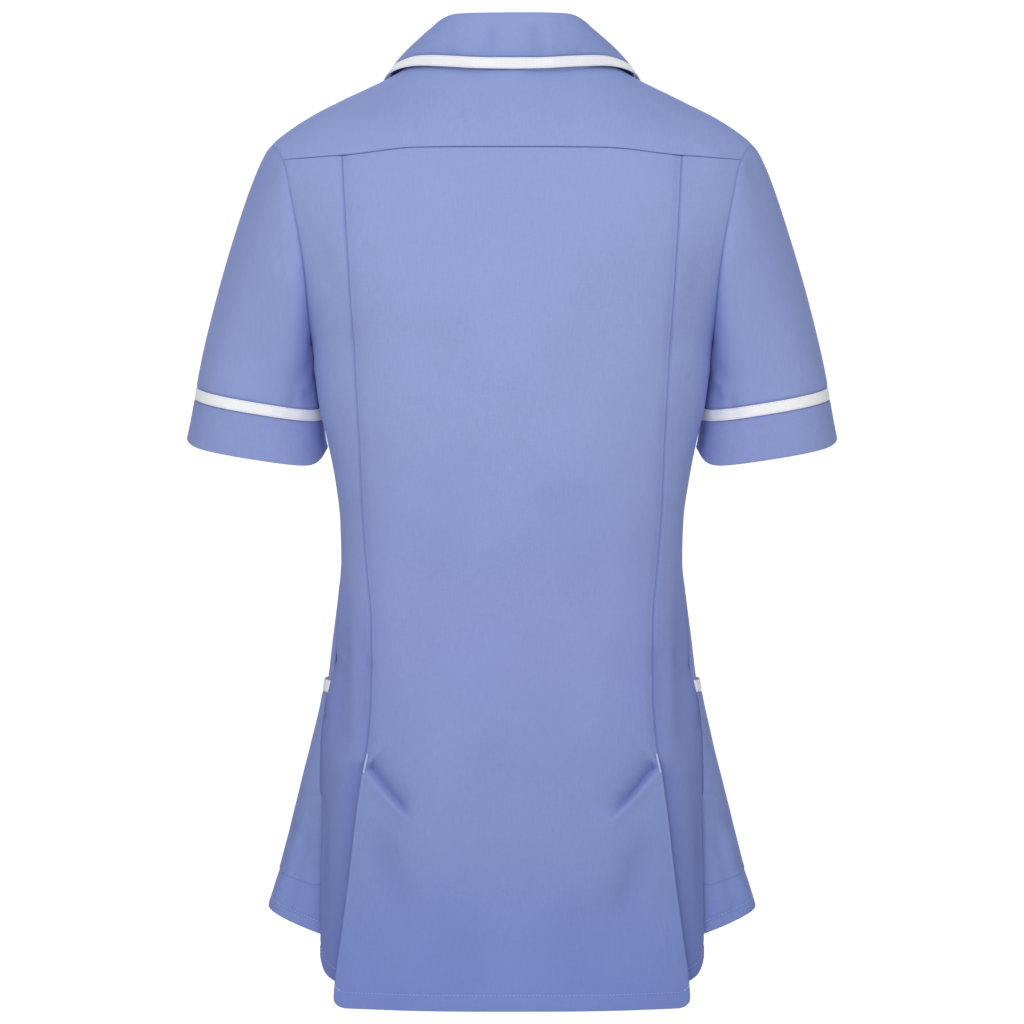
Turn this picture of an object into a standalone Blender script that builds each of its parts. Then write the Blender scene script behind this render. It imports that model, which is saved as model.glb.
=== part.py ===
"""Work tunic, worn form with no wearer: a Blender script in metres, +Z up, front facing -Y.

The origin lies between the shoulders at the height of the nape seam. Every piece is one wall of
cloth, laid on a common body form and cut along its seams. Tables are in millimetres.
"""
import bisect
import math
from collections import namedtuple

import bpy
from mathutils import Vector

MM = 0.001
CLOTH = 1.2             # single cloth with its turnings
DOUBLE_CLOTH = 2.0      # collar, lapels and cuffs
SEAM_GAP = 0.36
SHOULDER_GAP = 0.2      # the shoulder seam's own gap, at its ridge, on each side
ARMHOLE_GAP = 0.45
STEP = 0.002            # step of the slopes, in rows or shares of a piece

CORNER = 2.4            # exponent of the body's rounded sections
SHOULDER_ROUND = 100.0  # height over which the shoulders turn into front and back
UNDERARM = -216.0
SHOULDER_POINT = -56.5

Section = namedtuple("Section", "z front_width back_width front_depth back_depth")
BODY = (
    Section(60, 215, 215, 62, 80),
    Section(0, 215, 215, 74, 84),
    Section(-60, 210, 215, 96, 95),
    Section(-100, 186, 206, 108, 97.5),
    Section(-140, 176, 192, 118, 98),
    Section(-170, 170, 178, 124, 97.5),
    Section(-200, 164.5, 166, 128, 96),
    Section(-216, 161.8, 161.8, 129, 94.5),
    Section(-240, 159.4, 159.4, 129, 92.5),
    Section(-265, 156, 156, 127, 90),
    Section(-294, 149.4, 149.4, 121, 87),
    Section(-326, 143.2, 143.2, 112, 83),
    Section(-358, 139, 139, 106, 80),
    Section(-391, 138.1, 138.1, 103, 79),
    Section(-423, 141, 141, 104, 82),
    Section(-456, 145, 145.2, 107, 87.5),
    Section(-485, 148.6, 150, 110, 92),
    Section(-504, 152.6, 154.5, 112, 95),
    Section(-537, 161.4, 158, 115, 100),
    Section(-585, 174, 159.2, 118, 105.5),
    Section(-634, 186.6, 160, 121, 109.5),
    Section(-666, 196.2, 160.5, 123, 111.5),
    Section(-700, 200, 161, 124, 113),
    Section(-760, 206, 161.5, 126, 115.5),
)

Point2 = namedtuple("Point2", "at value")
SHOULDER_LINE = (
    Point2(0, 34), Point2(40, 24), Point2(81, 9.5), Point2(102, -2), Point2(135, -18),
    Point2(167, -34.5), Point2(190, -50.5), Point2(196, -56.5), Point2(210, -68),
)
YOKE_SEAM = (Point2(0, -65), Point2(75, -65), Point2(135, -69.4), Point2(183.5, -69.94), Point2(200, -70))
PLEAT_LINE = (
    Point2(-66, 135), Point2(-130, 131.5), Point2(-217, 126.5), Point2(-294, 122), Point2(-349, 120),
    Point2(-390, 117), Point2(-445, 112), Point2(-490, 112), Point2(-535, 115), Point2(-558, 118.6),
    Point2(-600, 123.5), Point2(-640, 127), Point2(-693, 132.2), Point2(-722, 135.1), Point2(-745, 135.6),
)
SIDE_SEAM_DEPTH = (
    Point2(-216, 0), Point2(-380, 4), Point2(-440, 20), Point2(-480, 32), Point2(-520, 34),
    Point2(-574, 38), Point2(-640, 42), Point2(-713, 46),
)

Armhole = namedtuple("Armhole", "z back_x front_x")
ARMHOLE = (
    Armhole(-56.5, 196, 196), Armhole(-58, 191, 190.5), Armhole(-63, 187, 185.5),
    Armhole(-70, 183.5, 180), Armhole(-80, 180, 174.5), Armhole(-95, 177, 169),
    Armhole(-112, 173.5, 165), Armhole(-138, 168.3, 161), Armhole(-167, 164.7, 160),
    Armhole(-190, 163.4, 160.4), Armhole(-205, 162.5, 161.2), Armhole(-216, 161.8, 161.8),
)
ARMHOLE_STEPS = 16.0    # the armhole's turn from shoulder point to underarm
ARMHOLE_ROWS = (0, 1, 2, 3, 3.75, 4.75, 6, 7.5, 9, 10.5, 12, 13.5, 14.75, 16)
YOKE_ROW = 3            # the row of the armhole that the yoke seam meets

NECK_SIDE = 81.0        # half of the neck's width at the shoulder
NECK_RISE = 9.5
V_POINT = -135.0        # where a front's slanted edge meets its straight one
LAP = 18.0              # how far each front passes the middle
LAP_INSET = 1.9         # the left front lies this far under the right one
LAP_START = (-62.0, -92.0)
PLEAT_BLEND = 14.0

LOWER_ROWS = (-216, -240, -265, -294, -326, -358, -391, -423, -456, -487, -519, -548)
FRONT_ROWS = LOWER_ROWS + (-574,)
BACK_ROWS = LOWER_ROWS + (-555, -562, -580)
HEM_ROWS = 4

PLEAT_START = -548.0
PLEAT_INSET = 4.0
PLEAT_UNDERLAP = (Point2(-540, 0), Point2(-555, 0), Point2(-562, 6), Point2(-580, 20), Point2(-760, 20))
PLEAT_FLARE = 8.0       # how far the opened fold stands out at the hem
FLARE_FROM = 0.72       # share of the centre panel at which it starts

VENT_START = -574.0
VENT_TUCK = (8.0, 6.0)  # the front's free edge lies this far in and forward of the back's
VENT_BLEND = 26.0

BACK_HEM = -741.4
BACK_HEM_DROP = 1.6                     # lower at the pleats than at the middle
SIDE_BACK_HEM = (-729.0, -713.0)        # under the pleat and at the vent
SIDE_HEM_TURN = 2.5
FRONT_HEM = (-672.0, -670.0, -690.0)    # at the middle, the side and the vent
FRONT_HEM_TURN = 1.5

CENTRE_COLUMNS = (0, 0.14, 0.28, 0.42, 0.5618, 0.68, 0.78, 0.87, 0.94, 1)
NECK_COLUMNS = (0.486, 0.534)   # more columns where the yoke rounds the side of the neck
SIDE_BACK_COLUMNS = 7
FRONT_COLUMNS = 14
FRONT_BAND = 2                  # of them, those of the strip along the front edge

SLEEVE_HEM = Vector((208.3, -34, -303))
SLEEVE_ACROSS = Vector((57.5, 0, 9))
SLEEVE_DEEP = Vector((0, 62, -7))
SLEEVE_BAND = 46.0      # straight lower stretch that holds tape and cuff
SLEEVE_SPLAY = (0.035, 0.135)
SLEEVE_ROWS = 9
CUFF_CORNER = (13.0, 3.5)   # how far the cuff's hem rises where it rounds its inner and outer folds
TAPE = 9.5
Head = namedtuple("Head", "top side bottom")
SLEEVE_HEAD = Head(Vector((40, 0, -42)), Vector((30, 10, -60)), Vector((10, -8, -50)))

CollarRow = namedtuple("CollarRow", "t fold_x fold_y fold_z edge_x edge_y edge_z")
COLLAR = (
    CollarRow(0, 0, 59, 45, 0, 66.4, -1),
    CollarRow(0.15, 22, 56, 45.2, 27, 62, 0),
    CollarRow(0.30, 44, 45, 45.6, 56, 49.5, 3),
    CollarRow(0.42, 55.5, 29, 41.5, 82, 30, 5.5),
    CollarRow(0.54, 61.5, 8, 35.5, 100, 8, 2.8),
    CollarRow(0.66, 64, -16, 26, 107, -22, -5),
    CollarRow(0.78, 63, -38, 9, 109, -46, -20),
    CollarRow(0.90, 58.6, -57.4, -13.4, 107, -62, -33),
    CollarRow(1, 53.8, -67.7, -24.2, 102, -71.5, -42),
)
COLLAR_SEAM = (Point2(0, 0), Point2(0.15, 24), Point2(0.30, 47), Point2(0.42, 67), Point2(0.50, 77.5),
               Point2(0.55, 81), Point2(0.60, 81.5))
COLLAR_SIDE = 0.55      # where the collar crosses the shoulder seam
COLLAR_END = -26.0      # height of the collar's front end on the neck edge
COLLAR_FOLD = (2.3, 3.5)
COLLAR_SEAT = 0.5       # clearance of the stand above the neck edge
COLLAR_BULGE = 3.0
COLLAR_COLUMNS = 28

LAPEL_TOP = -27.2
LAPEL_FOOT = -100.0
LAPEL_WIDTH = (50.0, 2.0)
LAPEL_LIFT = 1.0

POCKET_TOP = -487.0
POCKET_FOOT = -640.0
PocketRow = namedtuple("PocketRow", "front_column side_column")
POCKET_MOUTH = PocketRow(7.1, 13.96)    # where its edges lie among the front's columns: the
POCKET_BASE = PocketRow(7.9, 13.96)     # rear one is sewn into the side seam
POCKET_LIFT = 0.4
POCKET_GAPE = 3.5
POCKET_GAPE_LENGTH = 60.0

BLUE = (0.262, 0.323, 0.672)
WHITE = (0.807, 0.807, 0.855)


def curve(points):
    """A smooth curve through (at, value) pairs that never swings past them."""
    pairs = sorted((float(point[0]), float(point[1])) for point in points)
    ats = [pair[0] for pair in pairs]
    values = [pair[1] for pair in pairs]
    widths = [b - a for a, b in zip(ats, ats[1:])]
    slopes = [(b - a) / w for a, b, w in zip(values, values[1:], widths)]
    tangents = [slopes[0]]
    for left, right in zip(slopes, slopes[1:]):
        turning = left * right <= 0
        tangents.append(0.0 if turning else 2 * left * right / (left + right))
    tangents.append(slopes[-1])

    def value_at(at):
        at = min(max(at, ats[0]), ats[-1])
        i = min(max(bisect.bisect_right(ats, at) - 1, 0), len(widths) - 1)
        t = (at - ats[i]) / widths[i]
        rise = t * t * (3 - 2 * t)
        start = t * (1 - t) * (1 - t) * tangents[i] * widths[i]
        end = t * t * (t - 1) * tangents[i + 1] * widths[i]
        return values[i] + (values[i + 1] - values[i]) * rise + start + end

    return value_at


def straight(points):
    """Straight runs through (at, value) pairs given in rising order."""
    ats = [point[0] for point in points]

    def value_at(at):
        i = min(max(bisect.bisect_right(ats, at) - 1, 0), len(ats) - 2)
        t = min(max((at - ats[i]) / (ats[i + 1] - ats[i]), 0), 1)
        return points[i][1] + (points[i + 1][1] - points[i][1]) * t

    return value_at


def ramp(value, start, end):
    """0 at start, 1 at end, straight between them and level outside."""
    return min(max((value - start) / (end - start), 0.0), 1.0)


front_width = curve([(row.z, row.front_width) for row in BODY])
back_width = curve([(row.z, row.back_width) for row in BODY])
front_depth = curve([(row.z, row.front_depth) for row in BODY])
back_depth = curve([(row.z, row.back_depth) for row in BODY])
shoulder_line = curve(SHOULDER_LINE)
yoke_seam = curve(YOKE_SEAM)
pleat_line = curve(PLEAT_LINE)
side_seam_depth = curve(SIDE_SEAM_DEPTH)
pleat_underlap = straight(sorted(PLEAT_UNDERLAP))


def turn_share(row):
    """How far down from shoulder to underarm a row of the armhole lies."""
    return (1 - math.cos(math.pi * row / ARMHOLE_STEPS)) / 2


def armhole_height(row):
    return SHOULDER_POINT + (UNDERARM - SHOULDER_POINT) * turn_share(row)


def armhole_edge(column):
    """The armhole's x by height, straight between the rows that body and sleeve share."""
    smooth = curve([(row.z, getattr(row, column)) for row in ARMHOLE])
    heights = [armhole_height(row) for row in reversed(ARMHOLE_ROWS)]
    return straight([(z, smooth(z)) for z in heights])


armhole_back = armhole_edge("back_x")
armhole_front = armhole_edge("front_x")


def angle_of(x, width):
    """The section's angle at x, 0 at the side and a quarter turn at the middle."""
    share = min(abs(x) / width, 1.0) ** (CORNER / 2)
    return math.acos(math.copysign(share, x))


def along(angle, size):
    """The distance from the middle at an angle whose cosine or sine is given."""
    return math.copysign(abs(angle) ** (2 / CORNER), angle) * size


def shoulder_round(x, z):
    """Share of the full depth left where the form turns over the shoulder."""
    drop = ramp(z, shoulder_line(abs(x)), shoulder_line(abs(x)) - SHOULDER_ROUND)
    return math.sqrt(max(1 - (1 - drop) ** 2, 0.0))


def section_depth(x, z, width, depth):
    return depth * max(1 - min(abs(x) / width, 1.0) ** CORNER, 0.0) ** (1 / CORNER)


def back_point(x, z):
    turn = shoulder_round(x, z)
    y = section_depth(x, z, back_width(z), back_depth(z)) * turn
    return Vector((x, y + SHOULDER_GAP * (1 - turn), z))


def front_point(x, z):
    turn = shoulder_round(x, z)
    y = section_depth(x, z, front_width(z), front_depth(z)) * turn
    return Vector((x, -y - SHOULDER_GAP * (1 - turn), z))


def outward(point, width, depth):
    """The direction square to the section at a point on it."""
    x = math.copysign((abs(point.x) / width) ** (CORNER - 1) / width, point.x)
    y = math.copysign((abs(point.y) / depth) ** (CORNER - 1) / depth, point.y)
    return Vector((x, y, 0)).normalized()


def row_height(row, top, rows, hem):
    """Height of a row: the armhole's rows, then level ones, then a few down to the hem."""
    if row <= ARMHOLE_STEPS:
        return top(row)
    level = row - ARMHOLE_STEPS
    last = len(rows) - 1
    if level <= last:
        i = min(int(level), last - 1)
        return rows[i] + (rows[i + 1] - rows[i]) * (level - i)
    return rows[-1] + (hem - rows[-1]) * (level - last) / HEM_ROWS


def row_list(first, rows):
    """The row numbers of a panel, from its first row to its hem."""
    upper = [row for row in ARMHOLE_ROWS if row >= first]
    lower = range(int(ARMHOLE_STEPS) + 1, int(ARMHOLE_STEPS) + len(rows) + HEM_ROWS)
    return upper + list(lower)


def side_seam(z):
    """The seam between side back and front, as a point of the back's form."""
    depth = side_seam_depth(z)
    width = back_width(z)
    x = width * (1 - (depth / back_depth(z)) ** CORNER) ** (1 / CORNER)
    return Vector((x, depth, z))


def back_row_height(seam_x, row, hem):
    """Height on the back for the column that meets the yoke seam at seam_x."""
    def top(row):
        share = (turn_share(row) - turn_share(YOKE_ROW)) / (1 - turn_share(YOKE_ROW))
        return yoke_seam(abs(seam_x)) + (UNDERARM - yoke_seam(abs(seam_x))) * share
    return row_height(row, top, BACK_ROWS, hem)


def side_back_angles(z, z_row, row):
    """First and last angle of the side back on a row."""
    width = back_width(z_row)
    first = angle_of(pleat_line(z_row) - pleat_underlap(z_row), width)
    if row <= ARMHOLE_STEPS:
        return first, angle_of(armhole_back(z_row), width)
    return first, math.asin((side_seam_depth(z) / back_depth(z)) ** (CORNER / 2))


def side_back_x_at_yoke(u):
    z = armhole_height(YOKE_ROW)
    first, last = side_back_angles(z, z, YOKE_ROW)
    return along(math.cos(first + (last - first) * u), back_width(z))


def back_centre(u, row):
    """The centre back: u runs from pleat to pleat, -1 to 1."""
    seam_x = u * pleat_line(YOKE_SEAM[2].value)
    hem = BACK_HEM - BACK_HEM_DROP * u * u
    z = back_row_height(seam_x, row, hem)
    z_row = armhole_height(row) if row <= ARMHOLE_STEPS else z
    point = back_point(u * pleat_line(z_row), z)
    low = ramp(z, PLEAT_START - 6, BACK_HEM)
    edge = ramp(abs(u), FLARE_FROM, 1.0)
    flare = PLEAT_FLARE * low ** 1.2 * edge ** 2
    return point + outward(point, back_width(z), back_depth(z)) * flare


def side_back(u, row):
    """The left side back: u runs from the pleat to the armhole and side seam."""
    seam_x = side_back_x_at_yoke(u)
    hem = SIDE_BACK_HEM[0] + (SIDE_BACK_HEM[1] - SIDE_BACK_HEM[0]) * max(u, 0) ** SIDE_HEM_TURN
    z = back_row_height(seam_x, row, hem)
    z_row = armhole_height(row) if row <= ARMHOLE_STEPS else z
    first, last = side_back_angles(z, z_row, row)
    x = along(math.cos(first + (last - first) * u), back_width(z_row))
    point = back_point(x, z)
    under = ramp(x, pleat_line(z) + PLEAT_BLEND, pleat_line(z))
    inset = PLEAT_INSET * under * ramp(z, PLEAT_START, PLEAT_START - 7)
    if inset > 0:
        point -= outward(point, back_width(z), back_depth(z)) * inset
    return point


def yoke(u, row):
    """The yoke: u is the column's x at the yoke seam, rows run from neck and shoulder."""
    edge_z = armhole_height(row)
    x = u * armhole_back(edge_z) / armhole_back(armhole_height(YOKE_ROW))
    top_x = u * armhole_back(SHOULDER_POINT) / armhole_back(armhole_height(YOKE_ROW))
    if abs(top_x) < NECK_SIDE:
        top = NECK_RISE * (abs(top_x) / NECK_SIDE) ** 3
    else:
        top = shoulder_line(abs(top_x))
    share = turn_share(row) / turn_share(YOKE_ROW)
    return back_point(x, top + (yoke_seam(abs(u)) - top) * share)


def neck_edge_x(z):
    """The front's inner edge: slanted from the shoulder down, then straight to the hem."""
    return -LAP + (NECK_SIDE + LAP) * ramp(z, V_POINT, NECK_RISE)


def front_hem(angle):
    """Hem height round the front: level to the side, then falling to the vent."""
    middle, side, vent = FRONT_HEM
    if angle < 0:
        return side + (middle - side) * (angle / math.radians(-90)) ** 2
    return side + (vent - side) * ramp(angle, 0, math.radians(43)) ** FRONT_HEM_TURN


def vent_edge(z):
    """The front's outer edge behind the side: the side seam, then the free edge."""
    edge = side_seam(z)
    tuck = ramp(z, VENT_START, VENT_START - VENT_BLEND)
    return edge.x - VENT_TUCK[0] * tuck, edge.y - VENT_TUCK[1] * tuck


def front_section(angle, z):
    """A point below the underarm: angles are negative in front and positive behind."""
    width = front_width(z)
    x = along(math.cos(angle), width)
    if angle <= 0:
        return Vector((x, along(math.sin(angle), front_depth(z)), z))
    edge_x, edge_y = vent_edge(z)
    depth = edge_y / max(math.sin(angle_of(edge_x, width)), 1e-6) ** (2 / CORNER)
    return Vector((x, along(math.sin(angle), depth), z))


def front_last_angle(z):
    edge_x, edge_y = vent_edge(z)
    return angle_of(edge_x, front_width(z)) if edge_y > 0 else 0.0


def front_angle(u, edge_x, last, width):
    """The angle of a column: a strip of even width along the front edge, then even angles."""
    band = FRONT_BAND / FRONT_COLUMNS
    if u <= band:
        return -angle_of(edge_x + 2 * LAP * u / band, width)
    first = -angle_of(edge_x + 2 * LAP, width)
    return first + (last - first) * (u - band) / (1 - band)


def front(u, row, under=False):
    """The left front: u runs from the middle to the armhole and side seam."""
    if row <= ARMHOLE_STEPS:
        edge_z = armhole_height(row)
        inner_z = NECK_RISE + (UNDERARM - NECK_RISE) * turn_share(row)
        width = front_width(edge_z)
        last = -angle_of(armhole_front(edge_z), width)
        x = along(math.cos(front_angle(u, neck_edge_x(inner_z), last, width)), width)
        top_width = front_width(SHOULDER_POINT)
        top_last = -angle_of(armhole_front(SHOULDER_POINT), top_width)
        top = shoulder_line(along(math.cos(front_angle(u, NECK_SIDE, top_last, top_width)), top_width))
        point = front_point(x, top + (UNDERARM - top) * turn_share(row))
    else:
        z = row_height(row, None, FRONT_ROWS, FRONT_HEM[0])
        angle = front_angle(u, -LAP, front_last_angle(z), front_width(z))
        z = row_height(row, None, FRONT_ROWS, front_hem(angle))
        point = front_section(front_angle(u, -LAP, front_last_angle(z), front_width(z)), z)
    if under:
        band = FRONT_BAND / FRONT_COLUMNS
        point.y += LAP_INSET * ramp(u, band + 1 / FRONT_COLUMNS, band) * ramp(point.z, *LAP_START)
    return point


def left_front(u, row):
    return front(u, row, under=True)


def armhole_point(angle):
    """A point of the armhole, from the shoulder down the back and up the front."""
    row = ARMHOLE_STEPS * angle / math.pi
    if row <= ARMHOLE_STEPS:
        z = armhole_height(row)
        return back_point(armhole_back(z), z)
    z = armhole_height(2 * ARMHOLE_STEPS - row)
    return front_point(armhole_front(z), z)


def sleeve_down(angle):
    return Vector((SLEEVE_SPLAY[0] + SLEEVE_SPLAY[1] * math.cos(angle), 0, -1)).normalized()


def sleeve_hem(angle):
    across = along(math.cos(angle), 1)
    return SLEEVE_HEM + SLEEVE_ACROSS * across + SLEEVE_DEEP * along(math.sin(angle), 1)


def sleeve_head(angle):
    """How the sleeve leaves the armhole: round the cap, down the sides, steep below."""
    c = math.cos(angle)
    s = math.sin(angle)
    ends = (SLEEVE_HEAD.top + SLEEVE_HEAD.bottom) / 2 + (SLEEVE_HEAD.top - SLEEVE_HEAD.bottom) / 2 * c
    side = Vector((SLEEVE_HEAD.side.x, SLEEVE_HEAD.side.y * math.copysign(1, s), SLEEVE_HEAD.side.z))
    return ends * c * c + (side + (SLEEVE_HEAD.top - SLEEVE_HEAD.bottom) / 2 * c) * s * s


def sleeve(angle, row):
    """The left sleeve, from the armhole at row 0 to the tape at row 1."""
    start = armhole_point(angle) + Vector((ARMHOLE_GAP, 0, 0))
    down = sleeve_down(angle)
    end = sleeve_hem(angle) - down * SLEEVE_BAND
    leave = sleeve_head(angle)
    arrive = down * (end - start).length
    t = row
    point = start * (2 * t**3 - 3 * t**2 + 1) + leave * (t**3 - 2 * t**2 + t)
    return point + end * (3 * t**2 - 2 * t**3) + arrive * (t**3 - t**2)


def sleeve_band(start, end):
    """A straight band of the sleeve between two heights above its hem."""
    def place(angle, row):
        return sleeve_hem(angle) - sleeve_down(angle) * (start + (end - start) * row)
    return place


def cuff(angle, row):
    """The cuff's band, with its hem rounded up at both folds."""
    turn = math.cos(angle)
    rise = CUFF_CORNER[0] if turn < 0 else CUFF_CORNER[1]
    point = sleeve_band(SLEEVE_BAND - TAPE, 0)(angle, row)
    return point + Vector((0, 0, rise * turn ** 10 * row ** 2))


collar_fold = [curve([(row.t, getattr(row, "fold_" + axis)) for row in COLLAR]) for axis in "xyz"]
collar_edge = [curve([(row.t, getattr(row, "edge_" + axis)) for row in COLLAR]) for axis in "xyz"]
collar_seam = curve(COLLAR_SEAM)


def neck_seam_point(t):
    """The neck edge under the collar, from the nape round to the collar's front end."""
    if t <= COLLAR_SIDE:
        x = collar_seam(t)
        return back_point(x, NECK_RISE * (x / NECK_SIDE) ** 3)
    share = ((t - COLLAR_SIDE) / (1 - COLLAR_SIDE)) ** 1.2
    z = NECK_RISE + (COLLAR_END - NECK_RISE) * share
    return front_point(neck_edge_x(z), z)


def collar_frame(t):
    """Seam, fold and edge points with the up and outward directions of a section."""
    fold = Vector([axis(t) for axis in collar_fold])
    edge = Vector([axis(t) for axis in collar_edge])
    seam = neck_seam_point(t)
    ahead = Vector([axis(min(t + 0.02, 1)) for axis in collar_fold])
    behind = Vector([axis(max(t - 0.02, 0)) for axis in collar_fold])
    if t < 0.02:
        behind = Vector((-ahead.x, ahead.y, ahead.z))
    stand = fold - seam
    weight = min(stand.length / 20, 1)
    up = ((fold - edge).normalized() + stand.normalized() * weight).normalized()
    out = up.cross(ahead - behind).normalized()
    radius = COLLAR_FOLD[0] + (COLLAR_FOLD[1] - COLLAR_FOLD[0]) * min(stand.length / 25, 1)
    return seam, fold, edge, up, out, radius


def collar_section(t, row):
    """Row 0 to 1 is the stand, 1 to 2 the fold and 2 to 3 the fall, all on the right side."""
    seam, fold, edge, up, out, radius = collar_frame(t)
    base = seam - out * DOUBLE_CLOTH + up * COLLAR_SEAT
    centre = fold - up * radius
    if row < 1:
        top = centre - out * radius
        return base + (top - base) * row
    if row <= 2:
        turn = math.pi * (row - 1)
        return centre + out * radius * -math.cos(turn) + up * radius * math.sin(turn)
    start = centre + out * radius
    share = row - 2
    return start + (edge - start) * share + out * COLLAR_BULGE * math.sin(math.pi * share)


def both_sides(section):
    """A section function of |u|, mirrored for the wearer's right."""
    def place(u, row):
        point = section(abs(u), row)
        return Vector((math.copysign(point.x, u) if u else 0.0, point.y, point.z))
    return place


def tape_share(t):
    """Where on the fall the edge tape starts."""
    fold, edge = collar_frame(t)[1:3]
    return 1 - TAPE / (edge - fold).length


def collar_cloth(t, row):
    return collar_section(t, row if row <= 2 else 2 + (row - 2) * tape_share(t))


def collar_tape(t, row):
    return collar_section(t, 2 + tape_share(t) + (1 - tape_share(t)) * row)


def lifted(place, u, v, lift):
    """A point of a piece moved out from it, square to its surface."""
    point = place(u, v)
    across = place(u + STEP, v) - place(u - STEP, v)
    down = place(u, v + STEP) - place(u, v - STEP)
    return point + down.cross(across).normalized() * lift


def lapel(u, row):
    """The turned-back facing on the left front: u from the roll line outwards, rows down it."""
    z = LAPEL_TOP + (LAPEL_FOOT - LAPEL_TOP) * row
    x = neck_edge_x(z)
    roll = Vector((neck_edge_x(LAPEL_TOP) - neck_edge_x(LAPEL_FOOT), LAPEL_TOP - LAPEL_FOOT)).normalized()
    width = LAPEL_WIDTH[0] * (1 - row) ** 0.8 + LAPEL_WIDTH[1]
    lift = LAPEL_LIFT + DOUBLE_CLOTH + 1.5 * (1 - u) ** 2
    down = roll.x * width * u - z
    return lifted(lambda x, down: front_point(x, -down), x + roll.y * width * u, down, lift)


def front_row(z):
    """The row number of a height on the front, between its hem and the underarm."""
    heights = FRONT_ROWS + tuple(
        FRONT_ROWS[-1] + (FRONT_HEM[1] - FRONT_ROWS[-1]) * i / HEM_ROWS for i in range(1, HEM_ROWS + 1))
    return ARMHOLE_STEPS + straight([(-height, i) for i, height in enumerate(heights)])(-z)


def pocket_edges(row):
    """The front's columns at which the pocket begins and ends on a row."""
    share = ramp(row, front_row(POCKET_TOP), front_row(POCKET_FOOT))
    return [a + (b - a) * share for a, b in zip(POCKET_MOUTH, POCKET_BASE)]


def pocket(column, row):
    """The left pocket on the front's own rows and columns, with its mouth gaping."""
    first, last = pocket_edges(row)
    column = min(max(column, first), last)
    gape = POCKET_GAPE * max(math.sin(math.pi * (column - first) / (last - first)), 0.0) ** 0.7
    u = column / FRONT_COLUMNS
    mouth = ramp(front(u, row).z, POCKET_TOP - POCKET_GAPE_LENGTH, POCKET_TOP) ** 1.5
    return lifted(front, u, row, POCKET_LIFT + CLOTH + gape * mouth)


def pocket_grid(start, end):
    """Columns and rows of a band of the pocket: its edges and the front's own lines between."""
    inner = range(math.ceil(POCKET_BASE.front_column), math.ceil(POCKET_BASE.side_column))
    columns = [0, *inner, FRONT_COLUMNS]
    first, last = front_row(start), front_row(end)
    rows = [first, *range(math.ceil(first + 0.05), math.floor(last - 0.05) + 1), last]
    return columns, rows


def mirrored(place):
    def other(u, row):
        point = place(u, row)
        return Vector((-point.x, point.y, point.z))
    return other


def spaced(count, start=0.0, end=1.0):
    return [start + (end - start) * i / count for i in range(count + 1)]


def fabric(name, colour):
    material = bpy.data.materials.new(name)
    material.use_nodes = True
    shader = material.node_tree.nodes["Principled BSDF"]
    shader.inputs["Base Color"].default_value = (*colour, 1.0)
    shader.inputs["Roughness"].default_value = 0.85
    shader.inputs["Metallic"].default_value = 0.0
    material.diffuse_color = (*colour, 1.0)
    return material


def trimmed(place, us, rows, ring):
    """The piece's grid of points, drawn in by half a seam gap along its free borders."""
    grid = [[place(u, row) for row in rows] for u in us]
    last_u = len(us) - 1
    last_row = len(rows) - 1
    cut = SEAM_GAP / 2

    def towards(point, near):
        return (near - point).normalized() * cut

    moves = []
    for j in range(len(us)):
        moves.append((j, 0, towards(grid[j][0], grid[j][1])))
        moves.append((j, last_row, towards(grid[j][last_row], grid[j][last_row - 1])))
    if not ring:
        for i in range(len(rows)):
            moves.append((0, i, towards(grid[0][i], grid[1][i])))
            moves.append((last_u, i, towards(grid[last_u][i], grid[last_u - 1][i])))
    for j, i, move in moves:
        grid[j][i] = grid[j][i] + move
    return grid


def wall(name, place, us, rows, thickness, material, facing=1, ring=False):
    """One piece of cloth: a grid of points with its wall inside it.

    facing is 1 where the right side looks along (u x row) and -1 where it looks the other way.
    """
    grid = trimmed(place, us, rows, ring)
    tall = len(rows)
    points = [tuple(point * MM) for column in grid for point in column]
    faces = []
    columns = len(us) if ring else len(us) - 1
    for j in range(columns):
        after = (j + 1) % len(us)
        for i in range(tall - 1):
            a, b, c, d = (j * tall + i, after * tall + i, after * tall + i + 1, j * tall + i + 1)
            faces += [(a, b, c), (a, c, d)] if facing > 0 else [(c, b, a), (d, c, a)]
    mesh = bpy.data.meshes.new(name)
    mesh.from_pydata(points, [], faces)
    mesh.materials.append(material)
    mesh.shade_smooth()
    piece = bpy.data.objects.new(name, mesh)
    bpy.context.scene.collection.objects.link(piece)
    shell = piece.modifiers.new("wall", "SOLIDIFY")
    shell.thickness = thickness * MM
    shell.offset = -1
    shell.use_even_offset = True
    shell.use_rim = True
    return piece


def pair(name, place, us, rows, thickness, material, facing=1, ring=False):
    """A piece of the wearer's left with its mirrored twin on the right."""
    wall(name + "_left", place, us, rows, thickness, material, facing, ring)
    wall(name + "_right", mirrored(place), us, rows, thickness, material, -facing, ring)


def make_backs(blue):
    centre = [-u for u in reversed(CENTRE_COLUMNS)] + list(CENTRE_COLUMNS[1:])
    rows = row_list(YOKE_ROW, BACK_ROWS)
    wall("back_centre", back_centre, centre, rows, CLOTH, blue)
    sides = spaced(SIDE_BACK_COLUMNS)
    pair("back_side", side_back, sides, rows, CLOTH, blue)
    outer = [side_back_x_at_yoke(u) for u in sides[1:]]
    half = pleat_line(YOKE_SEAM[2].value)
    middle = sorted(centre + [u for share in NECK_COLUMNS for u in (-share, share)])
    columns = [-x for x in reversed(outer)] + [u * half for u in middle] + outer
    wall("yoke", yoke, columns, spaced(2 * YOKE_ROW, 0, YOKE_ROW), CLOTH, blue)


def make_fronts(blue):
    columns = spaced(FRONT_COLUMNS)
    rows = row_list(0, FRONT_ROWS)
    wall("front_left", left_front, columns, rows, CLOTH, blue, facing=-1)
    wall("front_right", mirrored(front), columns, rows, CLOTH, blue, facing=1)


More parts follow.
